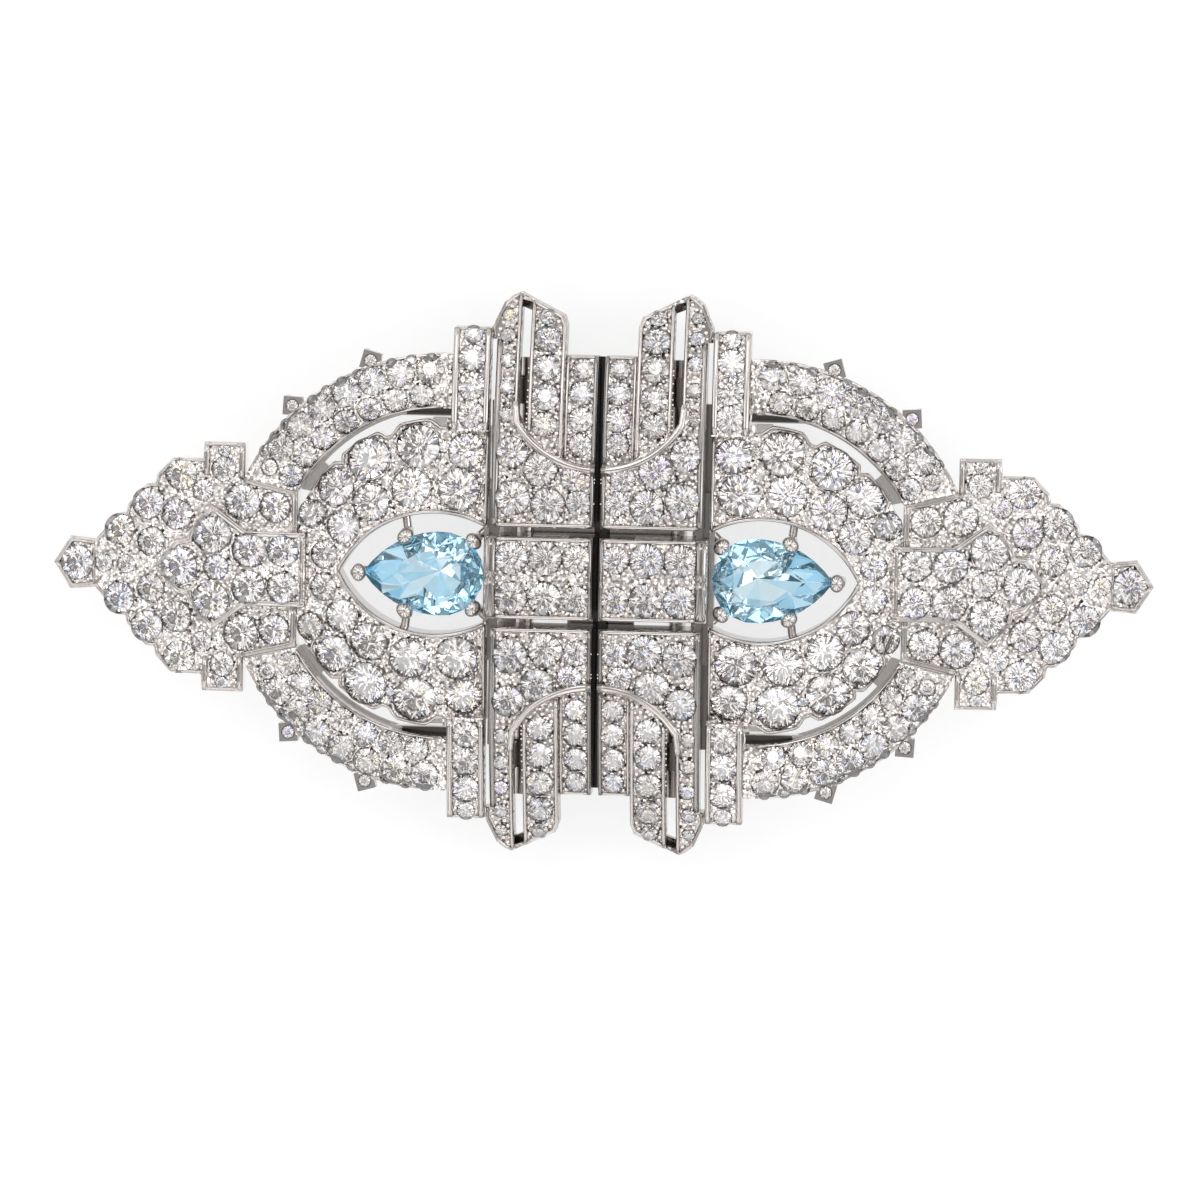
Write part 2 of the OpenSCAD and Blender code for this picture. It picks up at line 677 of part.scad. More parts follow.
// A sleeve that snaps over a rail of the brooch frame
SLEEVE_Y = 11.8;
SLEEVE_L = 2;
module rail_sleeve() {
    sleeve_t = 0.5;
    arm_w = 1.3;
    arm_h = 2.4;
    difference() {
        union() {
            translate([rail_x, SLEEVE_Y + SLEEVE_L, rail_z]) rotate([90, 0, 0])
                cylinder(h = SLEEVE_L, r = rail_r + sleeve_t);
            translate([rail_x + 0.3, SLEEVE_Y + 0.1, rail_z + 0.5])
                cube([arm_w, SLEEVE_L - 0.2, arm_h]);
        }
        translate([rail_x, SLEEVE_Y + SLEEVE_L + 1, rail_z]) rotate([90, 0, 0])
            cylinder(h = SLEEVE_L + 2, r = rail_r + seam);
        translate([rail_x - 0.5, SLEEVE_Y - 1, rail_z - 2]) cube([1, SLEEVE_L + 2, 2]);
    }
}

module fans(side) {
    bridge_wall_y = BRIDGE_Y - 0.05;
    bridge_wall_t = 0.5;
    bridge_wall_h = bridge_z - wall_z - 1.2;
    color(METAL) on_side(side) difference() {
        union() {
            both_halves() fan_half();
            intersection() {
                prism() right_of_gap()
                    translate([0, -BRIDGE_Y]) square([BRIDGE_X, 2 * BRIDGE_Y]);
                bent_shell(bridge_z, bridge_bend_r, 0, plate_t + 0.3);
            }
            translate([GAP_WALL_X, -bridge_wall_y, wall_z])
                cube([bridge_wall_t, 2 * bridge_wall_y, bridge_wall_h]);
            both_halves() translate([GAP_WALL_X, bridge_wall_y - bridge_wall_t, wall_z])
                cube([BRIDGE_X - GAP_WALL_X, bridge_wall_t, bridge_wall_h]);
        }
        seats(concat(FAN_SEATS, BRIDGE_SEATS));
        pits(FAN_PITS);
    }
}

// Clip lever: an open frame hinged behind the leaf, with two prongs at its free end. Its
// arms pass on either side of the pear-shaped opening, so nothing shows behind the stone

HINGE_X = 23.6;
HINGE_Z = 1.6;
// Outer and inner outline of its +Y half, and the place of a prong: x, y
LEVER_HALF = [[6.2, 0], [6.2, 6.3], [16, 6.3], [22.2, 1.6], [HINGE_X, 1.6], [HINGE_X, 0]];
LEVER_HOLE_HALF = [[7.4, 0], [7.4, 5], [15.6, 5], [20.2, 0.9], [20.2, 0]];
PRONG = [6.8, 5.6];
module clip_lever(side) {
    knuckle_r = 1.2;
    knuckle_l = 3.4;
    neck_l = knuckle_l - 0.2;
    prong_l = 2.6;
    color(METAL) on_side(side) difference() {
        union() {
            linear_extrude(lever_t) difference() {
                polygon(closed(LEVER_HALF));
                polygon(closed(LEVER_HOLE_HALF));
            }
            translate([HINGE_X, knuckle_l / 2, HINGE_Z]) rotate([90, 0, 0])
                cylinder(h = knuckle_l, r = knuckle_r);
            translate([HINGE_X - 1.6, -neck_l / 2, 0.2]) cube([1.6, neck_l, 1]);
            both_halves() translate([PRONG[0], PRONG[1], lever_t - 0.3])
                cylinder(h = prong_l, r1 = 0.5, r2 = 0.3);
        }
        translate([HINGE_X, knuckle_l, HINGE_Z]) rotate([90, 0, 0])
            cylinder(h = 2 * knuckle_l, r = rod_r + seam);
    }
}

// Brooch frame: two rails on a web, with a hinge block and a catch for the pin

// Place of the pin's hinge; its catch is as far out on the other side
PIN_Y = 12.4;
PIN_Z = 1.5;
AXLE_R = 0.4;
module brooch_frame() {
    web = [4.7, 30.4, 0.8];
    web_z = rail_z - web[2] / 2;
    bar_w = 0.9;
    bar_inset = 0.1;
    lug_x = 0.9;
    lug_t = 0.8;
    lug_r = 0.9;
    rail_shift = 0.35;
    color(METAL) {
        translate([-web[0] / 2, -web[1] / 2, web_z]) cube(web);
        // The photo shows the rails a little nearer to its lower edge
        for (s = [-1, 1]) translate([s * rail_x, rail_l / 2 - rail_shift, rail_z])
            rotate([90, 0, 0]) cylinder(h = rail_l, r = rail_r);
        for (y = [-9, -2.9, 2.9, 9]) translate([-rail_x, y - bar_w / 2, web_z + bar_inset])
            cube([2 * rail_x, bar_w, web[2] - 2 * bar_inset]);
        for (x = [-lug_x - lug_t, lug_x]) translate([x, PIN_Y - lug_r, PIN_Z - lug_r])
            cube([lug_t, 2 * lug_r, web_z + 0.2 - (PIN_Z - lug_r)]);
        translate([-lug_x - 0.7, PIN_Y, PIN_Z]) rotate([0, 90, 0])
            cylinder(h = 2 * (lug_x + 0.7), r = AXLE_R);
        pin_catch(web_z + 0.2);
    }
}

// A hook round the stem, open on one side
module pin_catch(top) {
    catch_l = 1.6;
    hook_r = 1.05;
    eye_r = 0.55;
    mouth_h = 0.8;
    translate([0, catch_l / 2 - PIN_Y, 0]) rotate([90, 0, 0]) linear_extrude(catch_l)
        difference() {
            union() {
                translate([0, PIN_Z]) circle(hook_r);
                translate([-0.5, PIN_Z + 0.5]) square([1, top - PIN_Z - 0.5]);
            }
            translate([0, PIN_Z]) circle(eye_r);
            translate([0, PIN_Z - 0.45]) square([2 * hook_r, mouth_h]);
        }
}

// Brooch pin: an eye on the frame's hinge and a plain stem to the catch

module brooch_pin() {
    eye_l = 1.6;
    eye_r = 0.95;
    color(METAL) difference() {
        union() {
            translate([-eye_l / 2, PIN_Y, PIN_Z]) rotate([0, 90, 0])
                cylinder(h = eye_l, r = eye_r);
            translate([0, PIN_Y - 0.7, PIN_Z]) rotate([90, 0, 0])
                cylinder(h = 2 * PIN_Y, r1 = 0.42, r2 = 0.36);
        }
        translate([-eye_l, PIN_Y, PIN_Z]) rotate([0, 90, 0])
            cylinder(h = 2 * eye_l, r = AXLE_R + seam);
    }
}

// Aquamarine: a pear with a table, a faceted crown, a thin edge and a pavilion

function pear_edge() =
    let (w = AQUA_HALF_W, l = AQUA_TIP - AQUA_X, big = (l * l + w * w) / (2 * w))
    let (tip_a = asin((big - w) / big), q = AQUA_STEPS / 4)
    let (side = [for (i = [0:q - 1]) let (a = tip_a + (90 - tip_a) * i / q)
        [AQUA_X + big * cos(a), w - big + big * sin(a)]])
    let (round_end = [for (i = [0:2 * q - 1]) let (a = 90 + 90 * i / q)
        [AQUA_X + w * cos(a), w * sin(a)]])
    concat(side, round_end, [for (i = [0:q - 1]) let (a = 90 - (90 - tip_a) * i / q)
        [AQUA_X + big * cos(a), -(w - big + big * sin(a))]]);

module aquamarine(side) {
    n = AQUA_STEPS;
    table = 0.6;
    crown_h = 0.95;
    edge_h = 0.06;
    pavilion_h = 2.6;
    centre = [AQUA_MID_X, 0];
    edge = pear_edge();
    points = concat(
        [for (p = edge) [each (centre + table * (p - centre)), aqua_z + crown_h]],
        [for (p = edge) [each p, aqua_z + edge_h]],
        [for (p = edge) [each p, aqua_z - edge_h]],
        [[centre[0], 0, aqua_z - pavilion_h]]);
    faces = concat(
        [[for (i = [n - 1:-1:0]) i]],
        [for (k = [0, n], i = [0:n - 1]) let (j = (i + 1) % n) each [
            [k + i, k + j, k + n + j],
            [k + i, k + n + j, k + n + i]]],
        [for (i = [0:n - 1]) [2 * n + i, 2 * n + (i + 1) % n, 3 * n]]);
    color(AQUA) on_side(side) polyhedron(points = points, faces = faces);
}

leaf("left");  // left_leaf
leaf("right");  // right_leaf
lunette("left");  // left_lunette
lunette("right");  // right_lunette
upper_arc("left");  // left_upper_arc
upper_arc("right");  // right_upper_arc
lower_arc("left");  // left_lower_arc
lower_arc("right");  // right_lower_arc
fans("left");  // left_fans
fans("right");  // right_fans
clip_lever("left");  // left_clip_lever
clip_lever("right");  // right_clip_lever
aquamarine("left");  // left_aquamarine
aquamarine("right");  // right_aquamarine
stones_for("left", LEAF_SEATS);  // left_leaf_diamonds
stones_for("right", LEAF_SEATS);  // right_leaf_diamonds
stones_for("left", LUNETTE_SEATS);  // left_lunette_diamonds
stones_for("right", LUNETTE_SEATS);  // right_lunette_diamonds
stones_for("left", UPPER_ARC_SEATS);  // left_upper_arc_diamonds
stones_for("right", UPPER_ARC_SEATS);  // right_upper_arc_diamonds
stones_for("left", LOWER_ARC_SEATS);  // left_lower_arc_diamonds
stones_for("right", LOWER_ARC_SEATS);  // right_lower_arc_diamonds
stones_for("left", FAN_SEATS);  // left_fan_diamonds
stones_for("right", FAN_SEATS);  // right_fan_diamonds
stones_for("left", BRIDGE_SEATS);  // left_bridge_diamonds
stones_for("right", BRIDGE_SEATS);  // right_bridge_diamonds
brooch_frame();
brooch_pin();
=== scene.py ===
# %% [markdown]
# # Pair of dress clips
#
# A double clip brooch of platinum, diamonds and two pear-shaped aquamarines. The solids
# come from the CAD frame. This script adds what a jeweller adds by hand: cut stones, the
# grains that hold them, bright borders, and the finish of every surface. All lengths are
# worked out in millimetres on the right-hand clip and mirrored for the other one.

# %% Load the frame
import math
import random
from functools import partialmethod

import bmesh
import bpy
import numpy as np
from mathutils import Matrix, Vector


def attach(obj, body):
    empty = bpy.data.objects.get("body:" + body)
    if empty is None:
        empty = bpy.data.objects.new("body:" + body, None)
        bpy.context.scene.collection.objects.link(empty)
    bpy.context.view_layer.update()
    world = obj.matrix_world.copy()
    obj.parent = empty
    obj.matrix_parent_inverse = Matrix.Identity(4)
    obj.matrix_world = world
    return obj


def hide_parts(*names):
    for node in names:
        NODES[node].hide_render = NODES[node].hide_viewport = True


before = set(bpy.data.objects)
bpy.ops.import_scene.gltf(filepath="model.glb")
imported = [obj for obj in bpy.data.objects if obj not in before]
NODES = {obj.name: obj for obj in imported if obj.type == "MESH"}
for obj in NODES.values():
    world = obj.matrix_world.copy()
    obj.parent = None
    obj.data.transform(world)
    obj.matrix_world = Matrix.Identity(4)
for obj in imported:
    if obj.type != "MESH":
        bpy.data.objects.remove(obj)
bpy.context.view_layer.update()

MM = 0.001

# %% [markdown]
# ## Camera, floor and light
#
# The photo is taken from above. High and low parts are shifted against each other there:
# the camera leans 5 degrees towards the brooch's upper side, 4 degrees towards its right
# end, and is rolled 1 degree. It stands 0.4 m away with a long lens. The light is a white
# tent: the sky is built from bright panels with darker gaps between them, because stones
# and polished metal only show what surrounds them. The photo has almost no shadow, so the
# brooch lies on glowing paper, as on a light table, and two soft boxes add the rest.

# %% Camera
def in_scene(name, data):
    """A new object of the scene for a mesh, a light or a camera."""
    obj = bpy.data.objects.new(name, data)
    bpy.context.scene.collection.objects.link(obj)
    return obj


LEAN_UP, LEAN_RIGHT, ROLL = (math.radians(angle) for angle in (5.1, 4.1, 1.02))
TARGET = Vector((0.03, -1.79, 5.0)) * MM
VIEW_WIDTH = 84.0 * MM
DISTANCE = 0.4
SENSOR = 36

back = Vector((math.tan(LEAN_RIGHT), math.tan(LEAN_UP), 1)).normalized()
level_up = (Vector((0, 1, 0)) - back * back.y).normalized()
level_right = level_up.cross(back)
right = math.cos(ROLL) * level_right + math.sin(ROLL) * level_up
up = back.cross(right)

cam_data = bpy.data.cameras.new("camera")
cam_data.sensor_width = SENSOR
cam_data.lens = SENSOR * DISTANCE / VIEW_WIDTH
cam_data.clip_start = 0.01
cam_data.clip_end = 10
cam = in_scene("camera", cam_data)
turn = Matrix((right, up, back)).transposed().to_4x4()
cam.matrix_world = Matrix.Translation(TARGET + back * DISTANCE) @ turn
bpy.context.scene.camera = cam
print("camera: lens", round(cam_data.lens, 1), "mm")


# %% Helpers for node trees
def plug(tree, slot, value):
    """Links an input to a socket or a Value, or gives it a value of its own."""
    if isinstance(value, Value):
        value = value.socket
    if isinstance(value, bpy.types.NodeSocket):
        tree.links.new(value, slot)
    else:
        slot.default_value = value


def node(tree, kind, *first, **settings):
    """Adds a node, with values for its first inputs and its properties or inputs by name."""
    n = tree.nodes.new(kind)
    for slot, value in zip(n.inputs, first):
        plug(tree, slot, value)
    for key, value in settings.items():
        if hasattr(n, key):
            setattr(n, key, value)
        else:
            plug(tree, n.inputs[key.replace("_", " ")], value)
    return n


# %% Numbers in node trees
class Value:
    """A number in a node tree. Sums and comparisons with it become maths nodes."""

    def __init__(self, tree, socket):
        self.tree, self.socket = tree, socket

    def maths(self, operation, *others, clamp=False):
        """A maths node of this value and others."""
        n = node(self.tree, "ShaderNodeMath", self, *others, operation=operation, use_clamp=clamp)
        return Value(self.tree, n.outputs[0])

    __add__ = partialmethod(maths, "ADD")
    __sub__ = partialmethod(maths, "SUBTRACT")
    __mul__ = partialmethod(maths, "MULTIPLY")
    __pow__ = partialmethod(maths, "POWER")
    __lt__ = partialmethod(maths, "LESS_THAN")
    __gt__ = partialmethod(maths, "GREATER_THAN")
    __abs__ = partialmethod(maths, "ABSOLUTE")


# %% Sockets of groups and parts of vectors
def sockets(tree, inputs, outputs):
    """Makes the sockets of a node group: (name, kind, value) going in, (name, kind) out."""
    for label, kind, value in inputs:
        slot = tree.interface.new_socket(label, in_out="INPUT", socket_type="NodeSocket" + kind)
        if value is not None:
            slot.default_value = value
    for label, kind in outputs:
        tree.interface.new_socket(label, in_out="OUTPUT", socket_type="NodeSocket" + kind)


def components(tree, kind, output):
    """x, y and z of a vector that an input node gives."""
    vector = node(tree, kind).outputs[output]
    return [Value(tree, part) for part in node(tree, "ShaderNodeSeparateXYZ", vector).outputs]


# %% Sky of a light tent
ZENITH, PANEL, GAP, HORIZON = 0.40, 1.9, 0.32, 0.75
ZENITH_FROM = 0.955
# Strength of the panels over the sine of their elevation
SKY_STEPS = [(0.0, HORIZON), (0.34, HORIZON), (0.44, 1.0), (0.93, 1.0), (0.97, 0.0)]

world = bpy.data.worlds.new("light_tent")
bpy.context.scene.world = world
world.use_nodes = True
wt = world.node_tree
wt.nodes.clear()
x, y, z = components(wt, "ShaderNodeTexCoord", "Generated")
azimuth = y.maths("ARCTAN2", x)
# Eleven bright panels stand round the object, each of another width
wave = (azimuth * 11.0).maths("SINE") + (azimuth * 3.0 + 0.5).maths("SINE") * 0.55
bars = wave.maths("MULTIPLY_ADD", 3.0, 0.5, clamp=True)
ramp = node(wt, "ShaderNodeValToRGB", z)
for position, _ in SKY_STEPS[2:]:
    ramp.color_ramp.elements.new(position)
for element, (position, value) in zip(ramp.color_ramp.elements, SKY_STEPS):
    element.position = position
    element.color = (value, value, value, 1)
level = bars * ramp.outputs[0] * (PANEL - GAP) + GAP
sky = node(wt, "ShaderNodeBackground", level.maths("MAXIMUM", (z > ZENITH_FROM) * ZENITH))
node(wt, "ShaderNodeOutputWorld", sky.outputs[0])
print("sky: panels", PANEL, "gaps", GAP)


# %% Soft boxes and floor
def area_light(name, where, size, power, colour=(1, 1, 1)):
    """A rectangular soft box that faces the brooch."""
    data = bpy.data.lights.new(name, "AREA")
    data.shape = "RECTANGLE"
    data.size, data.size_y = size
    data.energy = power
    data.color = colour
    light = in_scene(name, data)
    light.location = where
    light.rotation_euler = (-Vector(where)).to_track_quat("-Z", "Y").to_euler()


def shader(name, **inputs):
    """A new material and its Principled shader, with some of the shader's inputs set."""
    mat = bpy.data.materials.new(name)
    mat.use_nodes = True
    bsdf = mat.node_tree.nodes["Principled BSDF"]
    for key, value in inputs.items():
        plug(mat.node_tree, bsdf.inputs[key.replace("_", " ")], value)
    return mat, bsdf


area_light("key_box", (-0.04, 0.28, 0.44), (0.26, 0.14), 0.22)
area_light("side_box", (0.38, 0.02, 0.30), (0.10, 0.22), 0.14, (0.93, 0.96, 1))

FLOOR_GLOW, FLOOR_HALF = 0.73, 3.0
floor_mesh = bpy.data.meshes.new("floor")
corners = [(a * FLOOR_HALF, b * FLOOR_HALF, 0) for a, b in ((-1, -1), (1, -1), (1, 1), (-1, 1))]
floor_mesh.from_pydata(corners, [], [(0, 1, 2, 3)])
floor = in_scene("floor", floor_mesh)
paper, _ = shader("paper", Base_Color=(0.31, 0.31, 0.31, 1), Roughness=0.9, Specular_IOR_Level=0.1,
                  Emission_Color=(1, 1, 1, 1), Emission_Strength=FLOOR_GLOW)
floor_mesh.materials.append(paper)
bpy.context.scene.view_settings.view_transform = "Standard"
print("floor: glowing white paper")

# %% [markdown]
# ## Surfaces
#
# Every unit of a clip lies on a simple surface: the leaf on a falling plane, the lunette
# on a sphere, the arcs on a ring, the fans and the bridge on cylinders along the brooch.
# Stones, grains and borders all ask the same function where the metal is.

# %% Surface functions
LEAF_SLOPE = math.radians(6)
LEAF_X, LEAF_Z, LEAF_TAN = 20.55, 6.6, math.tan(LEAF_SLOPE)
CREST_RISE = 0.6 / math.cos(LEAF_SLOPE)
ROUND_X = 11.0  # the middle of the lunette and of the arcs
DOME_R, DOME_Z = 45.0, 7.8
PILLAR_R, PILLAR_Y, PILLAR_Z = 24, 9, 7.9
ARC_R, ARC_Z, ARC_TUBE, ARC_REACH = 13.4, 4.1, 3.2, 2.3  # ring, level, tube, half width
BRIDGE_R, BRIDGE_Z = 14, 9.7
FAN_R, FAN_Y, FAN_Z = 34, 3.5, 9.0
FAN_RISES = {"fan": 0.0, "fan_rim": 0.35, "middle": 0.2, "inner": -0.3}


def height(unit, x, y):
    """Level of the metal of a unit above (x, y) of the right-hand clip."""
    y = abs(y)
    if unit == "leaf":
        return LEAF_Z - (x - LEAF_X) * LEAF_TAN
    if unit == "crest":
        return height("leaf", x, y) + CREST_RISE
    if unit == "dome":
        return DOME_Z - DOME_R + math.sqrt(DOME_R**2 - (x - ROUND_X) ** 2 - y * y)
    if unit == "pillar":
        return PILLAR_Z - PILLAR_R + math.sqrt(PILLAR_R**2 - (y - PILLAR_Y) ** 2)
    if unit == "arc":
        off = min(abs(math.hypot(x - ROUND_X, y) - ARC_R), ARC_REACH)
        return ARC_Z + math.sqrt(ARC_TUBE**2 - off * off)
    if unit == "bridge":
        return BRIDGE_Z - BRIDGE_R + math.sqrt(BRIDGE_R**2 - y * y)
    return FAN_Z - FAN_R + math.sqrt((FAN_R + FAN_RISES[unit]) ** 2 - (y - FAN_Y) ** 2)


def outward(unit, x, y):
    """Direction out of the metal there."""
    e = 0.01
    dx = (height(unit, x + e, y) - height(unit, x - e, y)) / (2 * e)
    dy = (height(unit, x, y + e) - height(unit, x, y - e)) / (2 * e)
    return Vector((-dx, -dy, 1)).normalized()


def on_metal(unit, x, y):
    return Vector((x, y, height(unit, x, y)))


print("leaf tip level", round(height("leaf", 38.6, 0), 2))


# %% [markdown]
# ## Finishes
#
# Platinum is a slightly warm grey. Borders and claws are polished, and the grains are
# painted brighter than them, a painted highlight on the beads. The ground between the
# grains was cut with a graver and never polished flat, so it gets small uneven facets.
# The seats under the stones are painted bright, painted light where the deep seats would
# lie in shade. Ledges, studs and slots are duller. Painted shade darkens the fans' sloping
# ground and more so their slots, the cells beside the pillars, and the metal beside the
# seams and the gap between the clips; under that gap upward faces are painted near black.
# Masks find these places from where a point lies, which needs no painted picture. The
# back is polished but worn: fine scratches in all directions. One node group makes the
# uneven values, and each material uses them in its own shader.

# %% Node group of hand-worked metal
CELL_SCALE = 4800.0  # graver cuts to a metre


def worked_metal_group():
    """Graver cuts as small tilted facets, fine scratches and a slow change of tone."""
    group = bpy.data.node_groups.new("hand_worked_metal", "ShaderNodeTree")
    sockets(group, (("Cell Scale", "Float", CELL_SCALE), ("Facet Tilt", "Float", 0.0)),
            (("Shade", "Float"), ("Scratches", "Float"), ("Tone", "Float"), ("Facets", "Vector")))
    given = node(group, "NodeGroupInput").outputs
    where = node(group, "ShaderNodeTexCoord").outputs["Object"]
    cells = node(group, "ShaderNodeTexVoronoi", feature="F1", Vector=where,
                 Scale=given["Cell Scale"]).outputs["Color"]
    # Each cell is a flat cut: its random colour tilts the surface's own direction
    centred = node(group, "ShaderNodeVectorMath", cells, (0.5, 0.5, 0.5), operation="SUBTRACT")
    tilt = node(group, "ShaderNodeVectorMath", centred.outputs[0], operation="SCALE",
                Scale=given["Facet Tilt"])
    plain = node(group, "ShaderNodeNewGeometry").outputs["Normal"]
    turned = node(group, "ShaderNodeVectorMath", tilt.outputs[0], plain, operation="ADD")
    facets = node(group, "ShaderNodeVectorMath", turned.outputs[0], operation="NORMALIZE")
    shade = node(group, "ShaderNodeSeparateColor", cells)
    stretch = node(group, "ShaderNodeMapping", Vector=where, Rotation=(0.3, 0.2, 0.7),
                   Scale=(9000, 700, 3000))
    lines = node(group, "ShaderNodeTexNoise", Vector=stretch.outputs[0], Scale=1.0, Detail=3.0)
    slow = node(group, "ShaderNodeTexNoise", Vector=where, Scale=240.0, Detail=4.0)
    node(group, "NodeGroupOutput", Facets=facets.outputs[0], Shade=shade.outputs[0],
         Scratches=lines.outputs["Fac"], Tone=slow.outputs["Fac"])
    return group


WORKED = worked_metal_group()
print("hand-worked metal:", len(WORKED.nodes), "nodes")


# %% Helpers for colours and places
def scaled(tree, value, low, high):
    """Maps a value from 0..1 to low..high."""
    return node(tree, "ShaderNodeMapRange", Value=value, To_Min=low, To_Max=high).outputs["Result"]


def blend(tree, factor, a, b, kind="MIX"):
    """Mixes two colours, given as numbers or sockets."""
    a, b = ((*colour, 1) if isinstance(colour, tuple) else colour for colour in (a, b))
    return node(tree, "ShaderNodeMix", data_type="RGBA", blend_type=kind,
                Factor=factor, A=a, B=b).outputs["Result"]


def where_mm(tree):
    """|x|, |y| and z in mm of the point that is shaded."""
    x, y, z = (part * (1 / MM) for part in components(tree, "ShaderNodeTexCoord", "Object"))
    return abs(x), abs(y), z


# %% Platinum
def platinum(name, dark, bright, rough, tilt=0.0, scratches=0.0, masks=()):
    """Platinum from dark to bright, with facets or scratches.

    Each mask is a function of (x, y, z) that gives 0..1, and a colour for where it is 1."""
    mat, bsdf = shader(name, Metallic=1.0)
    tree = mat.node_tree
    group = node(tree, "ShaderNodeGroup", node_tree=WORKED)
    group.inputs["Facet Tilt"].default_value = tilt
    worked = group.outputs
    tone = worked["Tone"]
    if tilt:
        tone = scaled(tree, Value(tree, worked["Shade"]) * tone, 0.0, 1.5)
    colour = blend(tree, tone, dark, bright)
    masked, place = None, where_mm(tree) if masks else ()
    for mask, shade in masks:
        part = mask(*place)
        colour = blend(tree, part, colour, shade)
        masked = part if masked is None else masked + part
    if tilt and masks:
        plug(tree, group.inputs["Facet Tilt"], (masked < 0.5) * tilt)
    plug(tree, bsdf.inputs["Base Color"], colour)
    plug(tree, bsdf.inputs["Roughness"], scaled(tree, worked["Scratches"], *rough))
    if scratches:
        bump = node(tree, "ShaderNodeBump", Strength=scratches, Distance=0.01 * MM,
                    Height=worked["Scratches"])
        plug(tree, bsdf.inputs["Normal"], bump.outputs[0])
    elif tilt:
        plug(tree, bsdf.inputs["Normal"], worked["Facets"])
    return mat


# %% Masks of openings, slots and ledges
PEAR_X, PEAR_Y, PEAR_R = 11.4, -3.2, 7.4  # circle of the opening's upper side
SKIN = 0.12  # depth at which the seats begin
LEDGE_TOP, SLOT_DEPTH = 5.6, 0.9
CELL_Y, CELL_HALF, CELL_END = 11.4, 0.43, 13.7
STUDS_FROM = 15.33  # the square studs stand outside the arcs' outer edge
SEAM_X, SEAM_HALF, GAP_EDGE = 7.2, 0.35, 0.55


def in_opening(x, y, z):
    return (x - PEAR_X) ** 2 + (y - PEAR_Y) ** 2 < (PEAR_R + 0.04) ** 2


def shade_in_slots(x, y, z):
    """Painted shade where a point lies deeper than the slots under the ground of the fans, which
    bend down with y.
    """
    return z + (y - FAN_Y) ** 2 * (0.5 / FAN_R) < FAN_Z - SLOT_DEPTH


def on_ledges(x, y, z):
    return z < LEDGE_TOP


def shaded_cell(x, y, z):
    """Painted shade in the cell between the pillar, the arc and the bar, which lies deep in shade.
    """
    return (abs(y - CELL_Y) < CELL_HALF) * (x < CELL_END) * (z < LEDGE_TOP)


# %% Masks of seats and studs
def in_leaf_seats(x, y, z):
    return z + (x - LEAF_X) * LEAF_TAN < LEAF_Z - SKIN


def in_dome_seats(x, y, z):
    return (x - ROUND_X) ** 2 + y**2 + (z - (DOME_Z - DOME_R)) ** 2 < (DOME_R - SKIN) ** 2


def in_arc_seats(x, y, z):
    out = ((x - ROUND_X) ** 2 + y**2).maths("SQRT")
    return (out - ARC_R) ** 2 + (z - ARC_Z) ** 2 < (ARC_TUBE - SKIN) ** 2


def in_studs(x, y, z):
    return (x - ROUND_X) ** 2 + y**2 > STUDS_FROM**2


# %% Masks of painted shade in the gap and the seams
def shade_under_gap(x, y, z):
    """Painted shade on upward faces under the gap between the clips, deep in shade."""
    rise = components(x.tree, "ShaderNodeNewGeometry", "Normal")[2]
    return (rise > 0.5) * (x < GAP_EDGE)


def shade_beside_seams(x, y, z):
    """Painted shade next to the gap and to the seams between fans and lunettes."""
    return (x < GAP_EDGE).maths("MAXIMUM", abs(x - SEAM_X) < SEAM_HALF)


# %% Metals of the brooch
GROUND = {"rough": (0.10, 0.30), "tilt": 1.1}
# Painted light: the seats under the stones are painted bright, where the deep seats would lie in
# shade
SEAT_LIGHT = (0.95, 0.92, 0.90)
# Painted shade: grey beside the seams and the gap between the clips
SEAM_SHADE_GREY = (0.36, 0.335, 0.32)
PAVE = platinum("platinum_pave_ground", (0.62, 0.58, 0.56), (1.0, 0.96, 0.935),
                masks=((in_leaf_seats, SEAT_LIGHT),), **GROUND)
PAVE_OPEN = platinum("platinum_pave_and_collet", (0.62, 0.58, 0.56), (1.0, 0.96, 0.935),
                     masks=((in_dome_seats, SEAT_LIGHT), (in_opening, (0.60, 0.57, 0.55))), **GROUND)
PAVE_LEDGES = platinum("platinum_pave_and_ledges", (0.74, 0.70, 0.675), (1.0, 0.965, 0.94),
                       # The arcs' seats get less painted light than the others
                       masks=((in_arc_seats, (0.72, 0.69, 0.67)), (on_ledges, (0.78, 0.75, 0.73)),
                              # Painted shade: the cell beside each pillar is painted near black
                              (in_studs, (0.60, 0.565, 0.545)), (shaded_cell, (0.15, 0.138, 0.13))),
                       **GROUND)
# Painted shade: the fans' sloping ground is darker than the rest, and darker still in the slots
PAVE_SLOTS = platinum("platinum_pave_and_slots", (0.36, 0.325, 0.305), (0.86, 0.81, 0.78),
                      masks=((shade_in_slots, (0.33, 0.305, 0.285)), (shade_beside_seams, SEAM_SHADE_GREY)), **GROUND)
# The borders beside the seams get the same painted shade
POLISHED = platinum("platinum_polished", (0.53, 0.495, 0.475), (0.69, 0.65, 0.625),
                    (0.12, 0.26), scratches=0.25, masks=((shade_beside_seams, SEAM_SHADE_GREY),))
# Painted highlight: the grains and cups are painted brighter than the polished borders
GRAIN = platinum("platinum_grains", (0.86, 0.815, 0.79), (1.0, 0.955, 0.93), (0.10, 0.24))
BACK = platinum("platinum_back", (0.58, 0.55, 0.53), (0.76, 0.72, 0.70), (0.14, 0.34),
                scratches=0.5)
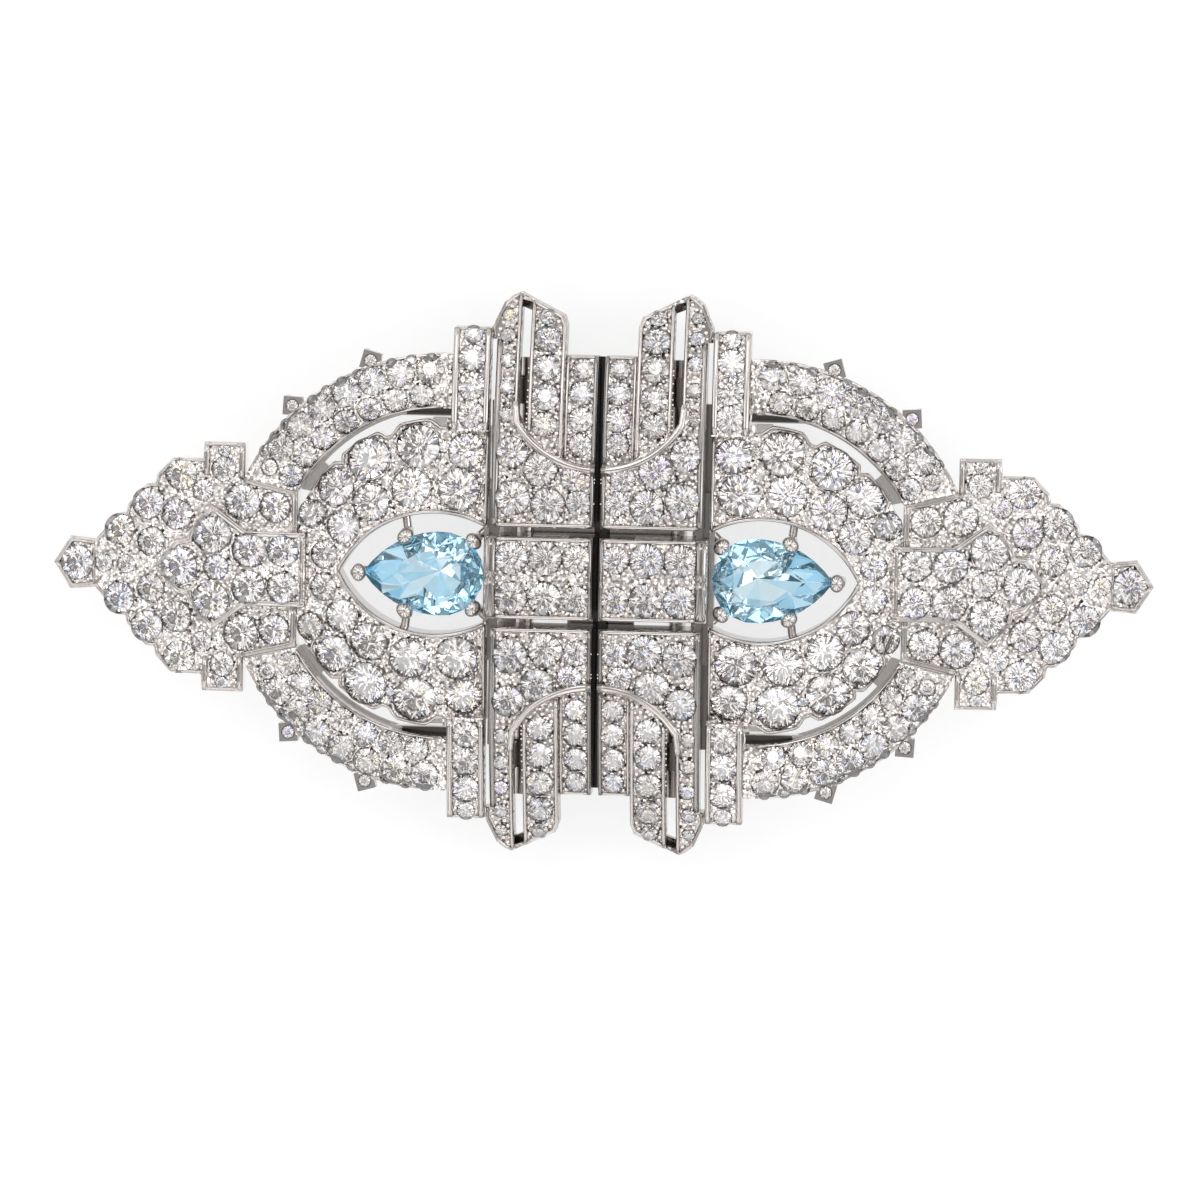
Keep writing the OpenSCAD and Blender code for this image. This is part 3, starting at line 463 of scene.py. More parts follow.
# Painted shade: the frame's upward faces under the gap between the clips are near black
FRAME = platinum("platinum_frame", (0.60, 0.57, 0.55), (0.78, 0.74, 0.72), (0.12, 0.26),
                 scratches=0.35, masks=((shade_under_gap, (0.10, 0.095, 0.09)),))
FINISHES = {"brooch_frame": FRAME, "brooch_pin": BACK}
for unit, finish in (("leaf", PAVE), ("lunette", PAVE_OPEN), ("upper_arc", PAVE_LEDGES),
                     ("lower_arc", PAVE_LEDGES), ("fans", PAVE_SLOTS), ("clip_lever", BACK)):
    for clip in ("left", "right"):
        FINISHES[f"{clip}_{unit}"] = finish
for name, finish in FINISHES.items():
    NODES[name].data.materials.clear()
    NODES[name].data.materials.append(finish)
print("finishes:", [m.name for m in bpy.data.materials if "platinum" in m.name])

# %% [markdown]
# ## Materials of the stones
#
# A clear stone shows its surroundings through its facets, so its shader is plain
# refraction. Old stones aren't quite white: they have a warm grey body colour, which
# painted shade makes deeper on the slopes, where less light comes back; sparks of
# coloured fire are painted into it as painted light, and are rare.
# The aquamarines' facets return light from different places, so each has a tone of its
# own, painted light and shade, and a faint glow stands in for the light that a real
# stone gathers from all round.


# %% Diamonds and aquamarine
def gem(name, colour, ior, rough):
    """A clear cut stone, with the colour on the shader's own socket."""
    return shader(name, Base_Color=(*colour, 1), Metallic=0.0, Transmission_Weight=1.0,
                  Roughness=rough, IOR=ior)


# Painted shade: body colour, and the |y| in mm past which stones far down the slopes get darker
SLOPE_SHADE, FAR_FROM = (0.93, 0.925, 0.92), 9.4
# Painted fire, as painted light: blue, lilac and yellow, each where a random channel passes its
# limit
PAINTED_FIRE = ((0.962, (0.62, 0.70, 1.0)), (0.982, (0.80, 0.68, 1.0)), (0.97, (1.0, 0.86, 0.58)))


def diamond(name, low, high):
    """Stones between two body colours, with rare painted fire, and painted shade far down the
    slopes.
    """
    mat, bsdf = gem(name, high, 2.417, 0.01)
    tree = mat.node_tree
    place = node(tree, "ShaderNodeTexCoord").outputs["Object"]
    body = node(tree, "ShaderNodeTexNoise", Vector=place, Scale=420.0, Detail=1.0)
    colour = blend(tree, scaled(tree, body.outputs["Fac"], -0.5, 1.5), low, high)
    far = where_mm(tree)[1].maths("SUBTRACT", FAR_FROM, clamp=True)
    colour = blend(tree, far, colour, SLOPE_SHADE, "MULTIPLY")
    spots = node(tree, "ShaderNodeTexVoronoi", Vector=place, Scale=2600.0)
    chances = node(tree, "ShaderNodeSeparateColor", spots.outputs["Color"]).outputs
    for chance, (limit, fire) in zip(chances, PAINTED_FIRE):
        colour = blend(tree, Value(tree, chance) > limit, colour, fire)
    plug(tree, bsdf.inputs["Base Color"], colour)
    return mat


VEIL, VEIL_STRENGTH = (0.30, 0.75, 1.0), 0.022


def aquamarine(name, deep, middle, light):
    """Each facet has a tone of its own, painted light and shade from deep to light, kept as a face
    attribute.
    """
    mat, bsdf = gem(name, middle, 1.577, 0.03)
    tree = mat.node_tree
    tone = Value(tree, node(tree, "ShaderNodeAttribute", attribute_name="facet_tone").outputs["Fac"])
    low = tone.maths("MULTIPLY", 2.0, clamp=True)
    high = tone.maths("MULTIPLY_ADD", 2.0, -1.0, clamp=True)
    colour = blend(tree, high, blend(tree, low, deep, middle), light)
    plug(tree, bsdf.inputs["Base Color"], colour)
    plug(tree, bsdf.inputs["Emission Color"], (*VEIL, 1))
    plug(tree, bsdf.inputs["Emission Strength"], VEIL_STRENGTH)
    return mat


# Painted shade: the stones of the fans and the arcs get darker body colours than those of the leaf
# and lunette
DIAMOND = diamond("diamond", (0.58, 0.545, 0.535), (0.86, 0.82, 0.805))
SHADED = diamond("diamond_of_fans", (0.45, 0.42, 0.41), (0.74, 0.70, 0.685))
DIM = diamond("diamond_of_arcs", (0.46, 0.435, 0.425), (0.76, 0.72, 0.705))
AQUA = aquamarine("aquamarine", (0.13, 0.44, 0.72), (0.38, 0.74, 0.96), (0.84, 0.955, 1.0))
print("stones:", [m.name for m in (DIAMOND, SHADED, DIM, AQUA)])

# %% [markdown]
# ## Diamonds
#
# The stones are old European cuts: a small table, a high crown, a deep pavilion and a
# small flat culet. One cutter's model is instanced by Geometry Nodes on a point for each
# stone. The points are read from the CAD stones, whose corners show centre, direction and
# size. Each stone then grows by up to 22%, until it nearly touches its neighbours, as cut
# stones do when they are matched to their places.


# %% Mesh helpers
def new_object(name, verts, faces, material, smooth=False):
    """An object of its own from points in millimetres."""
    mesh = bpy.data.meshes.new(name)
    mesh.from_pydata([tuple(c * MM for c in v) for v in verts], [], faces)
    mesh.validate()
    mesh.materials.append(material)
    mesh.polygons.foreach_set("use_smooth", [smooth] * len(mesh.polygons))
    return in_scene(name, mesh)


def facing_out(obj):
    """Turns all faces of a closed mesh outwards."""
    bm = bmesh.new()
    bm.from_mesh(obj.data)
    bmesh.ops.recalc_face_normals(bm, faces=bm.faces)
    bm.to_mesh(obj.data)
    bm.free()
    return obj


def mirrored(verts, faces, axis):
    """The same mesh on the other side of X = 0 or Y = 0, with its faces turned back."""
    flipped = [[-c if i == axis else c for i, c in enumerate(v)] for v in verts]
    return flipped, [tuple(reversed(f)) for f in faces]


def joined(*meshes):
    """One list of points and one of faces from several pairs of them."""
    verts, faces = [], []
    for v, f in meshes:
        base = len(verts)
        verts += [tuple(p) for p in v]
        faces += [tuple(i + base for i in face) for face in f]
    return verts, faces


def ring(count, radius, z, half=0.0):
    """Points of a level circle, which starts the given share of a step past +X."""
    step = 2 * math.pi / count
    return [(radius * math.cos((i + half) * step), radius * math.sin((i + half) * step), z)
            for i in range(count)]


def band(a, b, count):
    """Quads between two rings of points, the first of which are a and b."""
    return [(a + i, a + (i + 1) % count, b + (i + 1) % count, b + i) for i in range(count)]


# %% One old-cut diamond of radius 1
def brilliant_faces(n, pointed):
    """Facets of a brilliant with n mains, from rings of n or 2n points.

    A pointed one has its kites split in two, and the point of its culet after the rings."""
    # First points of table, stars' tips, upper edge, lower edge, lower halves' tips, last ring
    t, k, u, l, m, c = 0, n, 2 * n, 4 * n, 6 * n, 7 * n
    culet = 8 * n
    faces = [tuple(range(n))]
    for i in range(n):
        j, before, after = (i + 1) % n, (i - 1) % n, (2 * i + 2) % (2 * n)
        kites = [(t + i, k + before, u + 2 * i, k + i), (l + 2 * i, m + before, c + i, m + i)]
        bezel, main = ([q[:3], (q[0], *q[2:])] if pointed else [q] for q in kites)
        faces += [(t + i, k + i, t + j), *bezel, (k + i, u + 2 * i, u + 2 * i + 1),
                  (k + i, u + 2 * i + 1, u + after), (l + 2 * i, m + i, l + 2 * i + 1),
                  (l + 2 * i + 1, m + i, l + after), *main, (c + i, c + j, m + i)]
        if pointed:
            faces.append((c + i, culet, c + j))
    if not pointed:
        faces.append(tuple(c + i for i in reversed(range(n))))
    return faces + band(u, l, 2 * n)


def old_cut(table=0.50, crown=0.33, pavilion=0.86, culet=0.06, girdle=0.03):
    """Table, 8 stars, 8 bezels, 16 upper halves, edge, 16 lower halves, 8 mains, culet."""
    # The stars' tips stand half way up the crown, the lower halves' 70% of the way down
    verts = ring(8, table, crown + girdle)
    verts += ring(8, 0.5 * (table + 1) + 0.01, girdle + 0.50 * crown, 0.5)
    verts += ring(16, 1.0, girdle) + ring(16, 1.0, -girdle)
    verts += ring(8, 0.30, -girdle - 0.71 * pavilion, 0.5)
    verts += ring(8, culet, -pavilion)
    return verts, brilliant_faces(8, pointed=False)


def pattern(name, mesh, material, smooth=False):
    """A model for Geometry Nodes to repeat. Its points, given as radii, become metres."""
    obj = facing_out(new_object(name, *mesh, material, smooth))
    obj.data.transform(Matrix.Scale(1 / MM, 4))
    obj.hide_render = obj.hide_viewport = True
    return obj


cutter = pattern("diamond_pattern", old_cut(), DIAMOND)
print("diamond pattern:", len(cutter.data.polygons), "facets")


# %% Read the CAD stones
def islands(bm):
    """The loose parts of a mesh, as lists of points."""
    seen = set()
    for start in bm.verts:
        if start.index in seen:
            continue
        island, queue = [], [start]
        seen.add(start.index)
        while queue:
            v = queue.pop()
            island.append(v)
            for w in (e.other_vert(v) for e in v.link_edges):
                if w.index not in seen:
                    seen.add(w.index)
                    queue.append(w)
        yield island


def cad_stones(name):
    """Centre of the edge, direction and radius of each loose stone of a CAD node, in mm."""
    bm = bmesh.new()
    bm.from_mesh(NODES[name].data)
    bmesh.ops.remove_doubles(bm, verts=bm.verts, dist=1e-3 * MM)
    bm.verts.ensure_lookup_table()
    stones = []
    for island in islands(bm):
        # The table is the only facet made of six triangles in one plane
        normals = {}
        for f in {f for v in island for f in v.link_faces}:
            key = tuple(round(c, 2) for c in f.normal)
            normals.setdefault(key, []).append(f.normal.copy())
        n = sum(max(normals.values(), key=len), Vector()).normalized()
        # Highest are the eight corners of the table, and next the eight of the edge
        order = sorted((v.co / MM for v in island), key=lambda p: -p.dot(n))
        edge = order[8:16]
        centre = sum(edge, Vector()) / 8
        stones.append((centre, n, (edge[0] - centre).length))
    bm.free()
    return stones


# %% Grow the stones
GROWTH, LIFT, LIFT_SHARE = 1.22, 0.05, 0.85


def grown(stones, gap=0.01):
    """Each stone larger, until it nearly meets a neighbour, and lifted off its seat."""
    out = []
    for i, (p, n, r) in enumerate(stones):
        room = [((p - q).length - gap) / (r + s) for j, (q, _, s) in enumerate(stones) if j != i]
        size = r * max(min([GROWTH] + room), 1.0)
        out.append((p + n * (LIFT + LIFT_SHARE * (size - r)), n, size))
    return out


UNITS = ("leaf", "lunette", "upper_arc", "lower_arc", "fan", "bridge")
STONES = {f"{clip}_{unit}": grown(cad_stones(f"{clip}_{unit}_diamonds"))
          for clip in ("left", "right") for unit in UNITS}
print("stones:", {k: len(v) for k, v in STONES.items()})


# %% Geometry Nodes tree that sets a pattern on points
def setting_tree(name, material, model):
    """Instances a model on points that carry size, direction and turn."""
    tree = bpy.data.node_groups.new(name, "GeometryNodeTree")
    sockets(tree, (("Points", "Geometry", None), ("Scale", "Float", 1.0),
                   ("Size Spread", "Float", 0.0), ("Seed", "Int", 1)), (("Geometry", "Geometry"),))
    given = node(tree, "NodeGroupInput").outputs

    def attribute(label, kind):
        n = node(tree, "GeometryNodeInputNamedAttribute", data_type=kind, Name=label)
        return n.outputs["Attribute"]

    align = node(tree, "FunctionNodeAlignRotationToVector", axis="Z",
                 Vector=attribute("direction", "FLOAT_VECTOR"))
    about = node(tree, "FunctionNodeAxisAngleToRotation", Axis=(0, 0, 1),
                 Angle=attribute("turn", "FLOAT"))
    rotate = node(tree, "FunctionNodeRotateRotation", rotation_space="LOCAL",
                  Rotation=align.outputs[0], Rotate_By=about.outputs[0])
    # Inputs 2 and 3 and output 1 of the random value are those of a plain number
    chance = node(tree, "FunctionNodeRandomValue", data_type="FLOAT", Seed=given["Seed"])
    plug(tree, chance.inputs[2], Value(tree, given["Size Spread"]) * -1.0 + 1.0)
    plug(tree, chance.inputs[3], 1.0)
    size = Value(tree, attribute("size", "FLOAT")) * chance.outputs[1] * given["Scale"]
    source = node(tree, "GeometryNodeObjectInfo", Object=model)
    place = node(tree, "GeometryNodeInstanceOnPoints", Points=given["Points"],
                 Instance=source.outputs["Geometry"], Rotation=rotate.outputs[0], Scale=size)
    real = node(tree, "GeometryNodeRealizeInstances", place.outputs[0])
    finish = node(tree, "GeometryNodeSetMaterial", Geometry=real.outputs[0], Material=material)
    node(tree, "NodeGroupOutput", finish.outputs[0])
    return tree


# %% Run a tree and keep its result as a plain mesh
def set_on_points(name, tree, points, **inputs):
    """Makes a plain mesh object from points of (place, direction, size, turn) in mm."""
    mesh = bpy.data.meshes.new(name + "_points")
    mesh.from_pydata([tuple(p * MM) for p, _, _, _ in points], [], [])
    for label, kind, key, values in (
            ("direction", "FLOAT_VECTOR", "vector", [c for _, n, _, _ in points for c in n]),
            ("size", "FLOAT", "value", [s * MM for _, _, s, _ in points]),
            ("turn", "FLOAT", "value", [t for _, _, _, t in points])):
        mesh.attributes.new(label, kind, "POINT").data.foreach_set(key, values)
    obj = in_scene(name, mesh)
    mod = obj.modifiers.new("set", "NODES")
    mod.node_group = tree
    for item in tree.interface.items_tree:
        key = item.name.replace(" ", "_")
        if item.in_out == "INPUT" and key in inputs:
            mod[item.identifier] = inputs[key]
    bpy.context.view_layer.update()
    shape = obj.evaluated_get(bpy.context.evaluated_depsgraph_get())
    real = bpy.data.meshes.new_from_object(shape)
    obj.modifiers.remove(mod)
    obj.data = real
    real.name = name
    bpy.data.meshes.remove(mesh)
    return obj


# %% Set the diamonds
def dress(obj, slot, *nodes):
    """Hides the CAD nodes that a finished piece replaces and hangs the piece on the root body."""
    if nodes:
        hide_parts(*nodes)
    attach(obj, "root")


random.seed(11)
STONE_TREE = setting_tree("stone_setting", DIAMOND, cutter)
SHADED_TREE = setting_tree("shaded_stone_setting", SHADED, cutter)
DIM_TREE = setting_tree("dim_stone_setting", DIM, cutter)


def tree_for(key):
    """Stones on the slopes of the arcs and fans get darker body colours: painted shade where less
    light returns.
    """
    if key.endswith("arc"):
        return DIM_TREE
    return STONE_TREE if key.endswith(("leaf", "lunette")) else SHADED_TREE


def any_turn():
    return random.uniform(0, 6.28)


for key, stones in STONES.items():
    points = [(p, n, r, any_turn()) for p, n, r in stones]
    piece = set_on_points(key + "_stones", tree_for(key), points, Seed=3)
    dress(piece, "diamond", key + "_diamonds")
    print(piece.name, len(piece.data.polygons), "facets")

# %% [markdown]
# ## Cups
#
# The stones at the outer corners of the lunettes stand where the plate ends, and they
# have grown past its edge. A jeweller solders a small open cone under such a stone. It is
# made here as four rings joined by bands, two outside and two inside.

# %% Cups under the stones at the lunettes' corners
CUP_RINGS = ((0.94, -0.10), (0.32, -0.66), (0.32, -0.76), (0.98, -0.14))  # radius, level
CORNER_X = 20


def cup(p, n, r, around=24):
    """A thin hollow cone under a stone of radius r at p."""
    turn = n.to_track_quat("Z", "Y")
    verts, faces = [], []
    for k, (radius, level) in enumerate(CUP_RINGS):
        verts += [p + turn @ (Vector(spot) * r) for spot in ring(around, radius, level)]
        faces += band(k * around, (k + 1) % len(CUP_RINGS) * around, around)
    return verts, faces


for clip in ("left", "right"):
    corner = [stone for stone in STONES[clip + "_lunette"] if abs(stone[0].x) > CORNER_X]
    shape = joined(*(cup(*stone) for stone in corner))
    dress(facing_out(new_object(clip + "_seat_cups", *shape, GRAIN, smooth=True)), "platinum")
print("cups:", 2 * len(corner))

# %% [markdown]
# ## Borders
#
# Every plate ends in a narrow bright border left standing by the cutter. A border is a
# small rounded profile swept along its line on the metal. Where two plates meet, and
# round the crest of the leaf, it has a groove down its middle and reads as two lines.

# %% Profiles and paths
PLAIN = ((-0.5, -0.5), (-0.5, 0.35), (-0.3, 0.85), (0, 1), (0.3, 0.85), (0.5, 0.35), (0.5, -0.5))
DOUBLE = ((-0.5, -0.5), (-0.5, 0.6), (-0.36, 1), (-0.14, 0.9), (0, 0.1),
          (0.14, 0.9), (0.36, 1), (0.5, 0.6), (0.5, -0.5))
STEP = 0.6
MITRE_LEAST, MITRE_MOST, INSET_LEAST = 0.4, 1.8, 0.25  # limits for sharp corners


def resampled(path):
    """The same line with points no farther apart than a step; corners are kept."""
    out = []
    for (x0, y0), (x1, y1) in zip(path, path[1:]):
        n = max(1, math.ceil(math.hypot(x1 - x0, y1 - y0) / STEP))
        out += [(x0 + (x1 - x0) * i / n, y0 + (y1 - y0) * i / n) for i in range(n)]
    return out + [path[-1]]


def leftward(before, here, after):
    """Mean of the directions to the left of the stretches before and after a point."""
    sides = []
    for a, b in ((before, here), (here, after)):
        if a and b and math.dist(a, b) > 1e-6:
            d = math.dist(a, b)
            sides.append(((a[1] - b[1]) / d, (b[0] - a[0]) / d))
    return (sum(c) / len(sides) for c in zip(*sides))


# %% Sweep a profile along a line
def sweep(path, unit, width, rise, profile=PLAIN):
    """A border along a line, as points and faces in mm. Corners are mitred."""
    path = resampled(path)
    k = len(profile)
    closed = math.dist(path[0], path[-1]) < 1e-6
    if closed:
        path.pop()
    count = len(path)
    verts, faces = [], []
    for i, (x, y) in enumerate(path):
        before = path[i - 1] if i or closed else None
        after = path[(i + 1) % count] if i < count - 1 or closed else None
        sx, sy = leftward(before, (x, y), after)
        length = math.hypot(sx, sy)
        stretch = min(1 / max(length, MITRE_LEAST), MITRE_MOST)
        sx, sy = sx / length * stretch, sy / length * stretch
        for u, v in profile:
            px, py = x + sx * u * width, y + sy * u * width
            verts.append(tuple(on_metal(unit, px, py) + outward(unit, px, py) * v * rise))
    for i in range(count if closed else count - 1):
        faces += band(i * k, (i + 1) % count * k, k)
    if not closed:
        faces += [tuple(range(k - 1, -1, -1)), tuple((count - 1) * k + j for j in range(k))]
    return verts, faces


# %% Arcs and inset lines
def circle_path(cx, cy, r, start, end, step=4):
    """Points of an arc, angles in degrees from +X."""
    n = max(2, math.ceil(abs(end - start) / step))
    return [(cx + r * math.cos(math.radians(start + (end - start) * i / n)),
             cy + r * math.sin(math.radians(start + (end - start) * i / n)))
            for i in range(n + 1)]


def inset(path, by):
    """An open line moved to its right by a distance, with mitred corners."""
    out = []
    for i, (x, y) in enumerate(path):
        before = path[i - 1] if i else None
        after = path[i + 1] if i < len(path) - 1 else None
        sx, sy = leftward(before, (x, y), after)
        k = by / max(sx * sx + sy * sy, INSET_LEAST)
        out.append((x - sx * k, y - sy * k))
    return out


# %% Lines of the borders, on the +Y half of the right-hand clip
LEAF_EDGE = [(20.65, 0), (20.65, 2.6), (21.15, 2.6), (21.15, 5.45), (24.95, 6.35),
             (24.95, 8.75), (27.85, 8.75), (27.95, 7.6), (30.1, 7.55), (31.2, 6.4),
             (31.35, 5.75), (31.95, 5.7), (33.3, 4.2), (33.4, 3.65), (34, 3.55),
             (35.6, 1.7), (37.4, 1.87), (38.6, 0)]
CREST_EDGE = [(20.55, 2.6), (24.7, 2.6), (27.2, 4.4), (28.75, 2.6), (28.95, 2.0), (29.75, 1.85),
              (31.2, 0)]
# Middle and radius of each lobe of the lunette's edge, between a least and a largest radius
SCALLOPS = [(12.7, 8.85, 2.02), (16.15, 7.85, 1.97), (18.45, 5.85, 1.77)]
LUNETTE_R, LUNETTE_MAX = 10.25, 10.8
PEAR_START, PEAR_LENGTH, PEAR_STEPS = 7.9, 10.17, 34
RIM, RIM_R = (0.1, 14.1), 6.55  # middle and radius of the fans' curved rim


def scalloped(angle):
    """Point of the lunette's edge at an angle in degrees from +X."""
    c, s = math.cos(math.radians(angle)), math.sin(math.radians(angle))
    r = LUNETTE_R
    for x, y, size in SCALLOPS:
        x -= ROUND_X
        along, off = x * c + y * s, x * s - y * c
        if abs(off) < size:
            r = max(r, min(along + math.sqrt(size * size - off * off), LUNETTE_MAX))
    return ROUND_X + r * c, r * s


LUNETTE_EDGE = [scalloped(angle) for angle in range(92, 20, -1)]
PEAR_EDGE = [(x, PEAR_Y + math.sqrt(PEAR_R**2 - (x - PEAR_X) ** 2))
             for x in (PEAR_START + PEAR_LENGTH * i / PEAR_STEPS for i in range(PEAR_STEPS + 1))]
print("lines:", len(LEAF_EDGE), len(LUNETTE_EDGE), len(PEAR_EDGE))

# Borders of each unit: line, surface, width, rise, and a profile if it isn't the plain one
BORDERS = {
    "leaf": [
        (inset(LEAF_EDGE[2:5], 0.2), "leaf", 0.4, 0.2, DOUBLE),
        (inset(LEAF_EDGE[4:], 0.13), "leaf", 0.26, 0.2),
        ([(25.15, 6.3), (25.15, 8.6)], "leaf", 0.4, 0.26),
        ([(27.66, 6.4), (27.66, 8.6)], "leaf", 0.4, 0.26),
        (inset(CREST_EDGE, 0.18), "crest", 0.38, 0.18, DOUBLE),
        ([(20.75, 0), (20.75, 2.5)], "crest", 0.24, 0.14),
        ([(35.75, 0), (35.75, 1.5)], "leaf", 0.2, 0.16),
        ([(35.7, 1.42), (37.25, 1.6), (38.3, 0)], "leaf", 0.24, 0.28),
    ],
    "lunette": [
        (inset(LUNETTE_EDGE, 0.11), "dome", 0.22, 0.16),
        (inset(PEAR_EDGE, -0.13), "dome", 0.26, 0.2),
        ([(7.88, 3.5), (7.88, 9.95)], "dome", 0.24, 0.16),
        ([(7.95, 10.1), (7.95, 17.1)], "pillar", 0.4, 0.2),
        ([(10.13, 10.1), (10.13, 17.1)], "pillar", 0.44, 0.22),
        ([(7.9, 17.08), (10.2, 17.08)], "pillar", 0.2, 0.14),
    ],
    "arc": [
        (circle_path(ROUND_X, 0, 11.63, 89, 29), "arc", 0.2, 0.12),
        (circle_path(ROUND_X, 0, 15.18, 89, 27), "arc", 0.16, 0.1),
    ],
    "fans": [
        (circle_path(*RIM, RIM_R, 271, 329) + [(5.86, 12.2)], "fan_rim", 0.42, 0.13),
        ([(0.4, 3.6), (0.4, 7.4)], "fan", 0.24, 0.14),
        ([(0.35, 3.66), (7.25, 3.66)], "fan", 0.28, 0.14),
        ([(7.12, 3.6), (7.12, 16.35)], "fan", 0.4, 0.16),
        ([(7.5, 16.45), (7.52, 17.25), (6.83, 18.82), (6.27, 19.3), (5.9, 19.46)],
         "fan", 0.22, 0.14),
        ([(5.84, 11.4), (5.84, 19.4)], "fan", 0.26, 0.2),
        ([(2.66, 8.5), (2.66, 17.4), (2.9, 17.98), (4.9, 18.98)], "middle", 0.28, 0.18),
        ([(4.85, 10.2), (4.85, 18.9)], "middle", 0.28, 0.2),
        ([(0.4, 7.95), (0.4, 15.3)], "inner", 0.26, 0.16),
        ([(2.35, 8.3), (2.35, 15.3)], "inner", 0.24, 0.16),
        ([(0.35, 15.24), (2.5, 15.24)], "inner", 0.2, 0.14),
        ([(0.4, 0), (0.4, 2.75)], "bridge", 0.24, 0.14),
        ([(0.35, 2.7), (6.95, 2.7)], "bridge", 0.26, 0.14),
        ([(7.3, 0), (7.3, 2.75)], "bridge", 0.72, 0.16),
    ],
}

# %% Make the borders
for unit, lines in BORDERS.items():
    shape = joined(*(sweep(*line) for line in lines))
    if unit == "arc":
        halves = {"upper_arc": shape, "lower_arc": mirrored(*shape, 1)}
    else:
        halves = {unit: joined(shape, mirrored(*shape, 1))}
    for place, mesh in halves.items():
        for clip, mesh in (("right", mesh), ("left", mirrored(*mesh, 0))):
            piece = new_object(f"{clip}_{place}_borders", *mesh, POLISHED, smooth=True)
            dress(facing_out(piece), "platinum")
    print(unit, "borders:", len(lines), "lines")

# %% [markdown]
# ## Smallest stones
#
# The outer row of the arcs, the outer strips of the fans, the square studs and two gaps
# of each lunette hold stones of 0.7 to 1.3 mm. They are listed here, on the right-hand
# clip's upper half. Those of the arcs lie a little deeper than the others and are turned
# half way up from the slope.

# %% Table of the smallest stones: surface, x, y, radius
STUD_ANGLES = (19.3, 42.8)
STUD_OFF, STUD_TOP, STUD_STONE, STUD_TURN = 2.2, 6.8, 0.42, 0.3
EDGE_ANGLES = (3.4, 8.75, 14.1, 23.7, 28.4, 33.1, 37.7, 47.3, 51.9, 56.4)
EDGE_OFF, EDGE_STONE = 1.56, 0.43
RAISED = {"arc": 0.02, "lunette": 0.1, "fans": 0.1, "stud": 0.06}  # above the metal
UP = Vector((0, 0, 1))


def arc_place(angle, off):
    """A place on an arc, so many degrees from the brooch's width and mm off the middle."""
    r, a = ARC_R + off, math.radians(angle)
    return ROUND_X + r * math.sin(a), r * math.cos(a)


SMALL = {
    "arc": [("arc", *arc_place(a, EDGE_OFF), EDGE_STONE) for a in EDGE_ANGLES]
           + [("arc", *arc_place(59.4, 0.62), 0.64)],
    "lunette": [("dome", 10.92, 8.85, 0.4), ("dome", 14.47, 8.4, 0.35)],
    "fans": [("fan", 6.55, 11.2, 0.52), ("fan", 6.55, 13.1, 0.54), ("fan", 6.55, 14.95, 0.54),
             ("fan", 6.6, 16.65, 0.52), ("fan", 6.6, 18.05, 0.44)],
}


def small_points(unit):
    """Points for the smallest stones of a unit, with those of the studs."""
    points = []
    for surface, x, y, r in SMALL[unit]:
        n = outward(surface, x, y)
        place = on_metal(surface, x, y) + n * RAISED[unit]
        if unit == "arc":
            n = (n + UP).normalized()
        points.append((place, n, r, any_turn()))
    if unit == "arc":
        for angle in STUD_ANGLES:
            place = Vector((*arc_place(angle, STUD_OFF), STUD_TOP + RAISED["stud"]))
            points.append((place, UP, STUD_STONE, STUD_TURN))
    return points


def on_all_sides(points):
    """The points of the upper right half, and where they go on the other three."""
    sides = {}
    for clip, sx in (("right", 1), ("left", -1)):
        for half, sy in (("upper", 1), ("lower", -1)):
            flip = Vector((sx, sy, 1))
            sides[clip, half] = [(p * flip, n * flip, s, t) for p, n, s, t in points]
    return sides


SMALL_STONES = {}
for unit in SMALL:
    for (clip, half), points in on_all_sides(small_points(unit)).items():
        key = {"arc": f"{clip}_{half}_arc", "fans": f"{clip}_fan"}.get(unit, f"{clip}_{unit}")
        SMALL_STONES.setdefault(key, []).extend(points)
for key, points in SMALL_STONES.items():
    # Those of the arcs' outer edge stand free and get more light than the rest there, so they get
    # the brighter body colour: painted light
    tree = STONE_TREE if key.endswith("arc") else tree_for(key)
    dress(set_on_points(key + "_small_stones", tree, points, Seed=5), "diamond")
print("small stones:", sum(len(p) for p in SMALL_STONES.values()))

# %% [markdown]
# ## Grains
#
# Grains of metal were raised round each stone and burnished into beads. They fill every
# gap between the stones, so the ground hardly shows. Places are tried on a fine jittered
# mesh; the roomiest are taken first, and each grain is as large as its gap allows.


# %% Points and lines
def inside(points, polygon):
    """Which of many points lie inside a polygon."""
    px, py = points[:, 0], points[:, 1]
    hit = np.zeros(len(points), bool)
    for (x0, y0), (x1, y1) in zip(polygon, polygon[1:] + polygon[:1]):
        if y0 == y1:
            continue
        crosses = (y0 > py) != (y1 > py)
        hit ^= crosses & (px < (x1 - x0) * (py - y0) / (y1 - y0) + x0)
    return hit


def line_distance(points, path):
    """Distance from many points to a line of several stretches."""
    best = np.full(len(points), 99.0)
    for a, b in zip(path, path[1:]):
        a, b = np.array(a), np.array(b)
        d = b - a
        t = np.clip(((points - a) @ d) / max(d @ d, 1e-9), 0, 1)
        best = np.minimum(best, np.linalg.norm(points - a - t[:, None] * d, axis=1))
    return best


# %% Places of the grains
GRAIN_MAX, GRAIN_MIN, TRY_STEP = 0.19, 0.065, 0.09
UNDER_STONE, ON_BORDER = 0.07, 0.03  # how far a grain may reach there
APART = 1.15  # distance of two grains over the sum of their radii
FROM_Y = 0.04  # no grain stands nearer to the line between the two halves
SHUFFLE = 0.02  # chance in the order of the tries
LOOK_BACK = 400  # how many of the grains taken last a new one keeps clear of


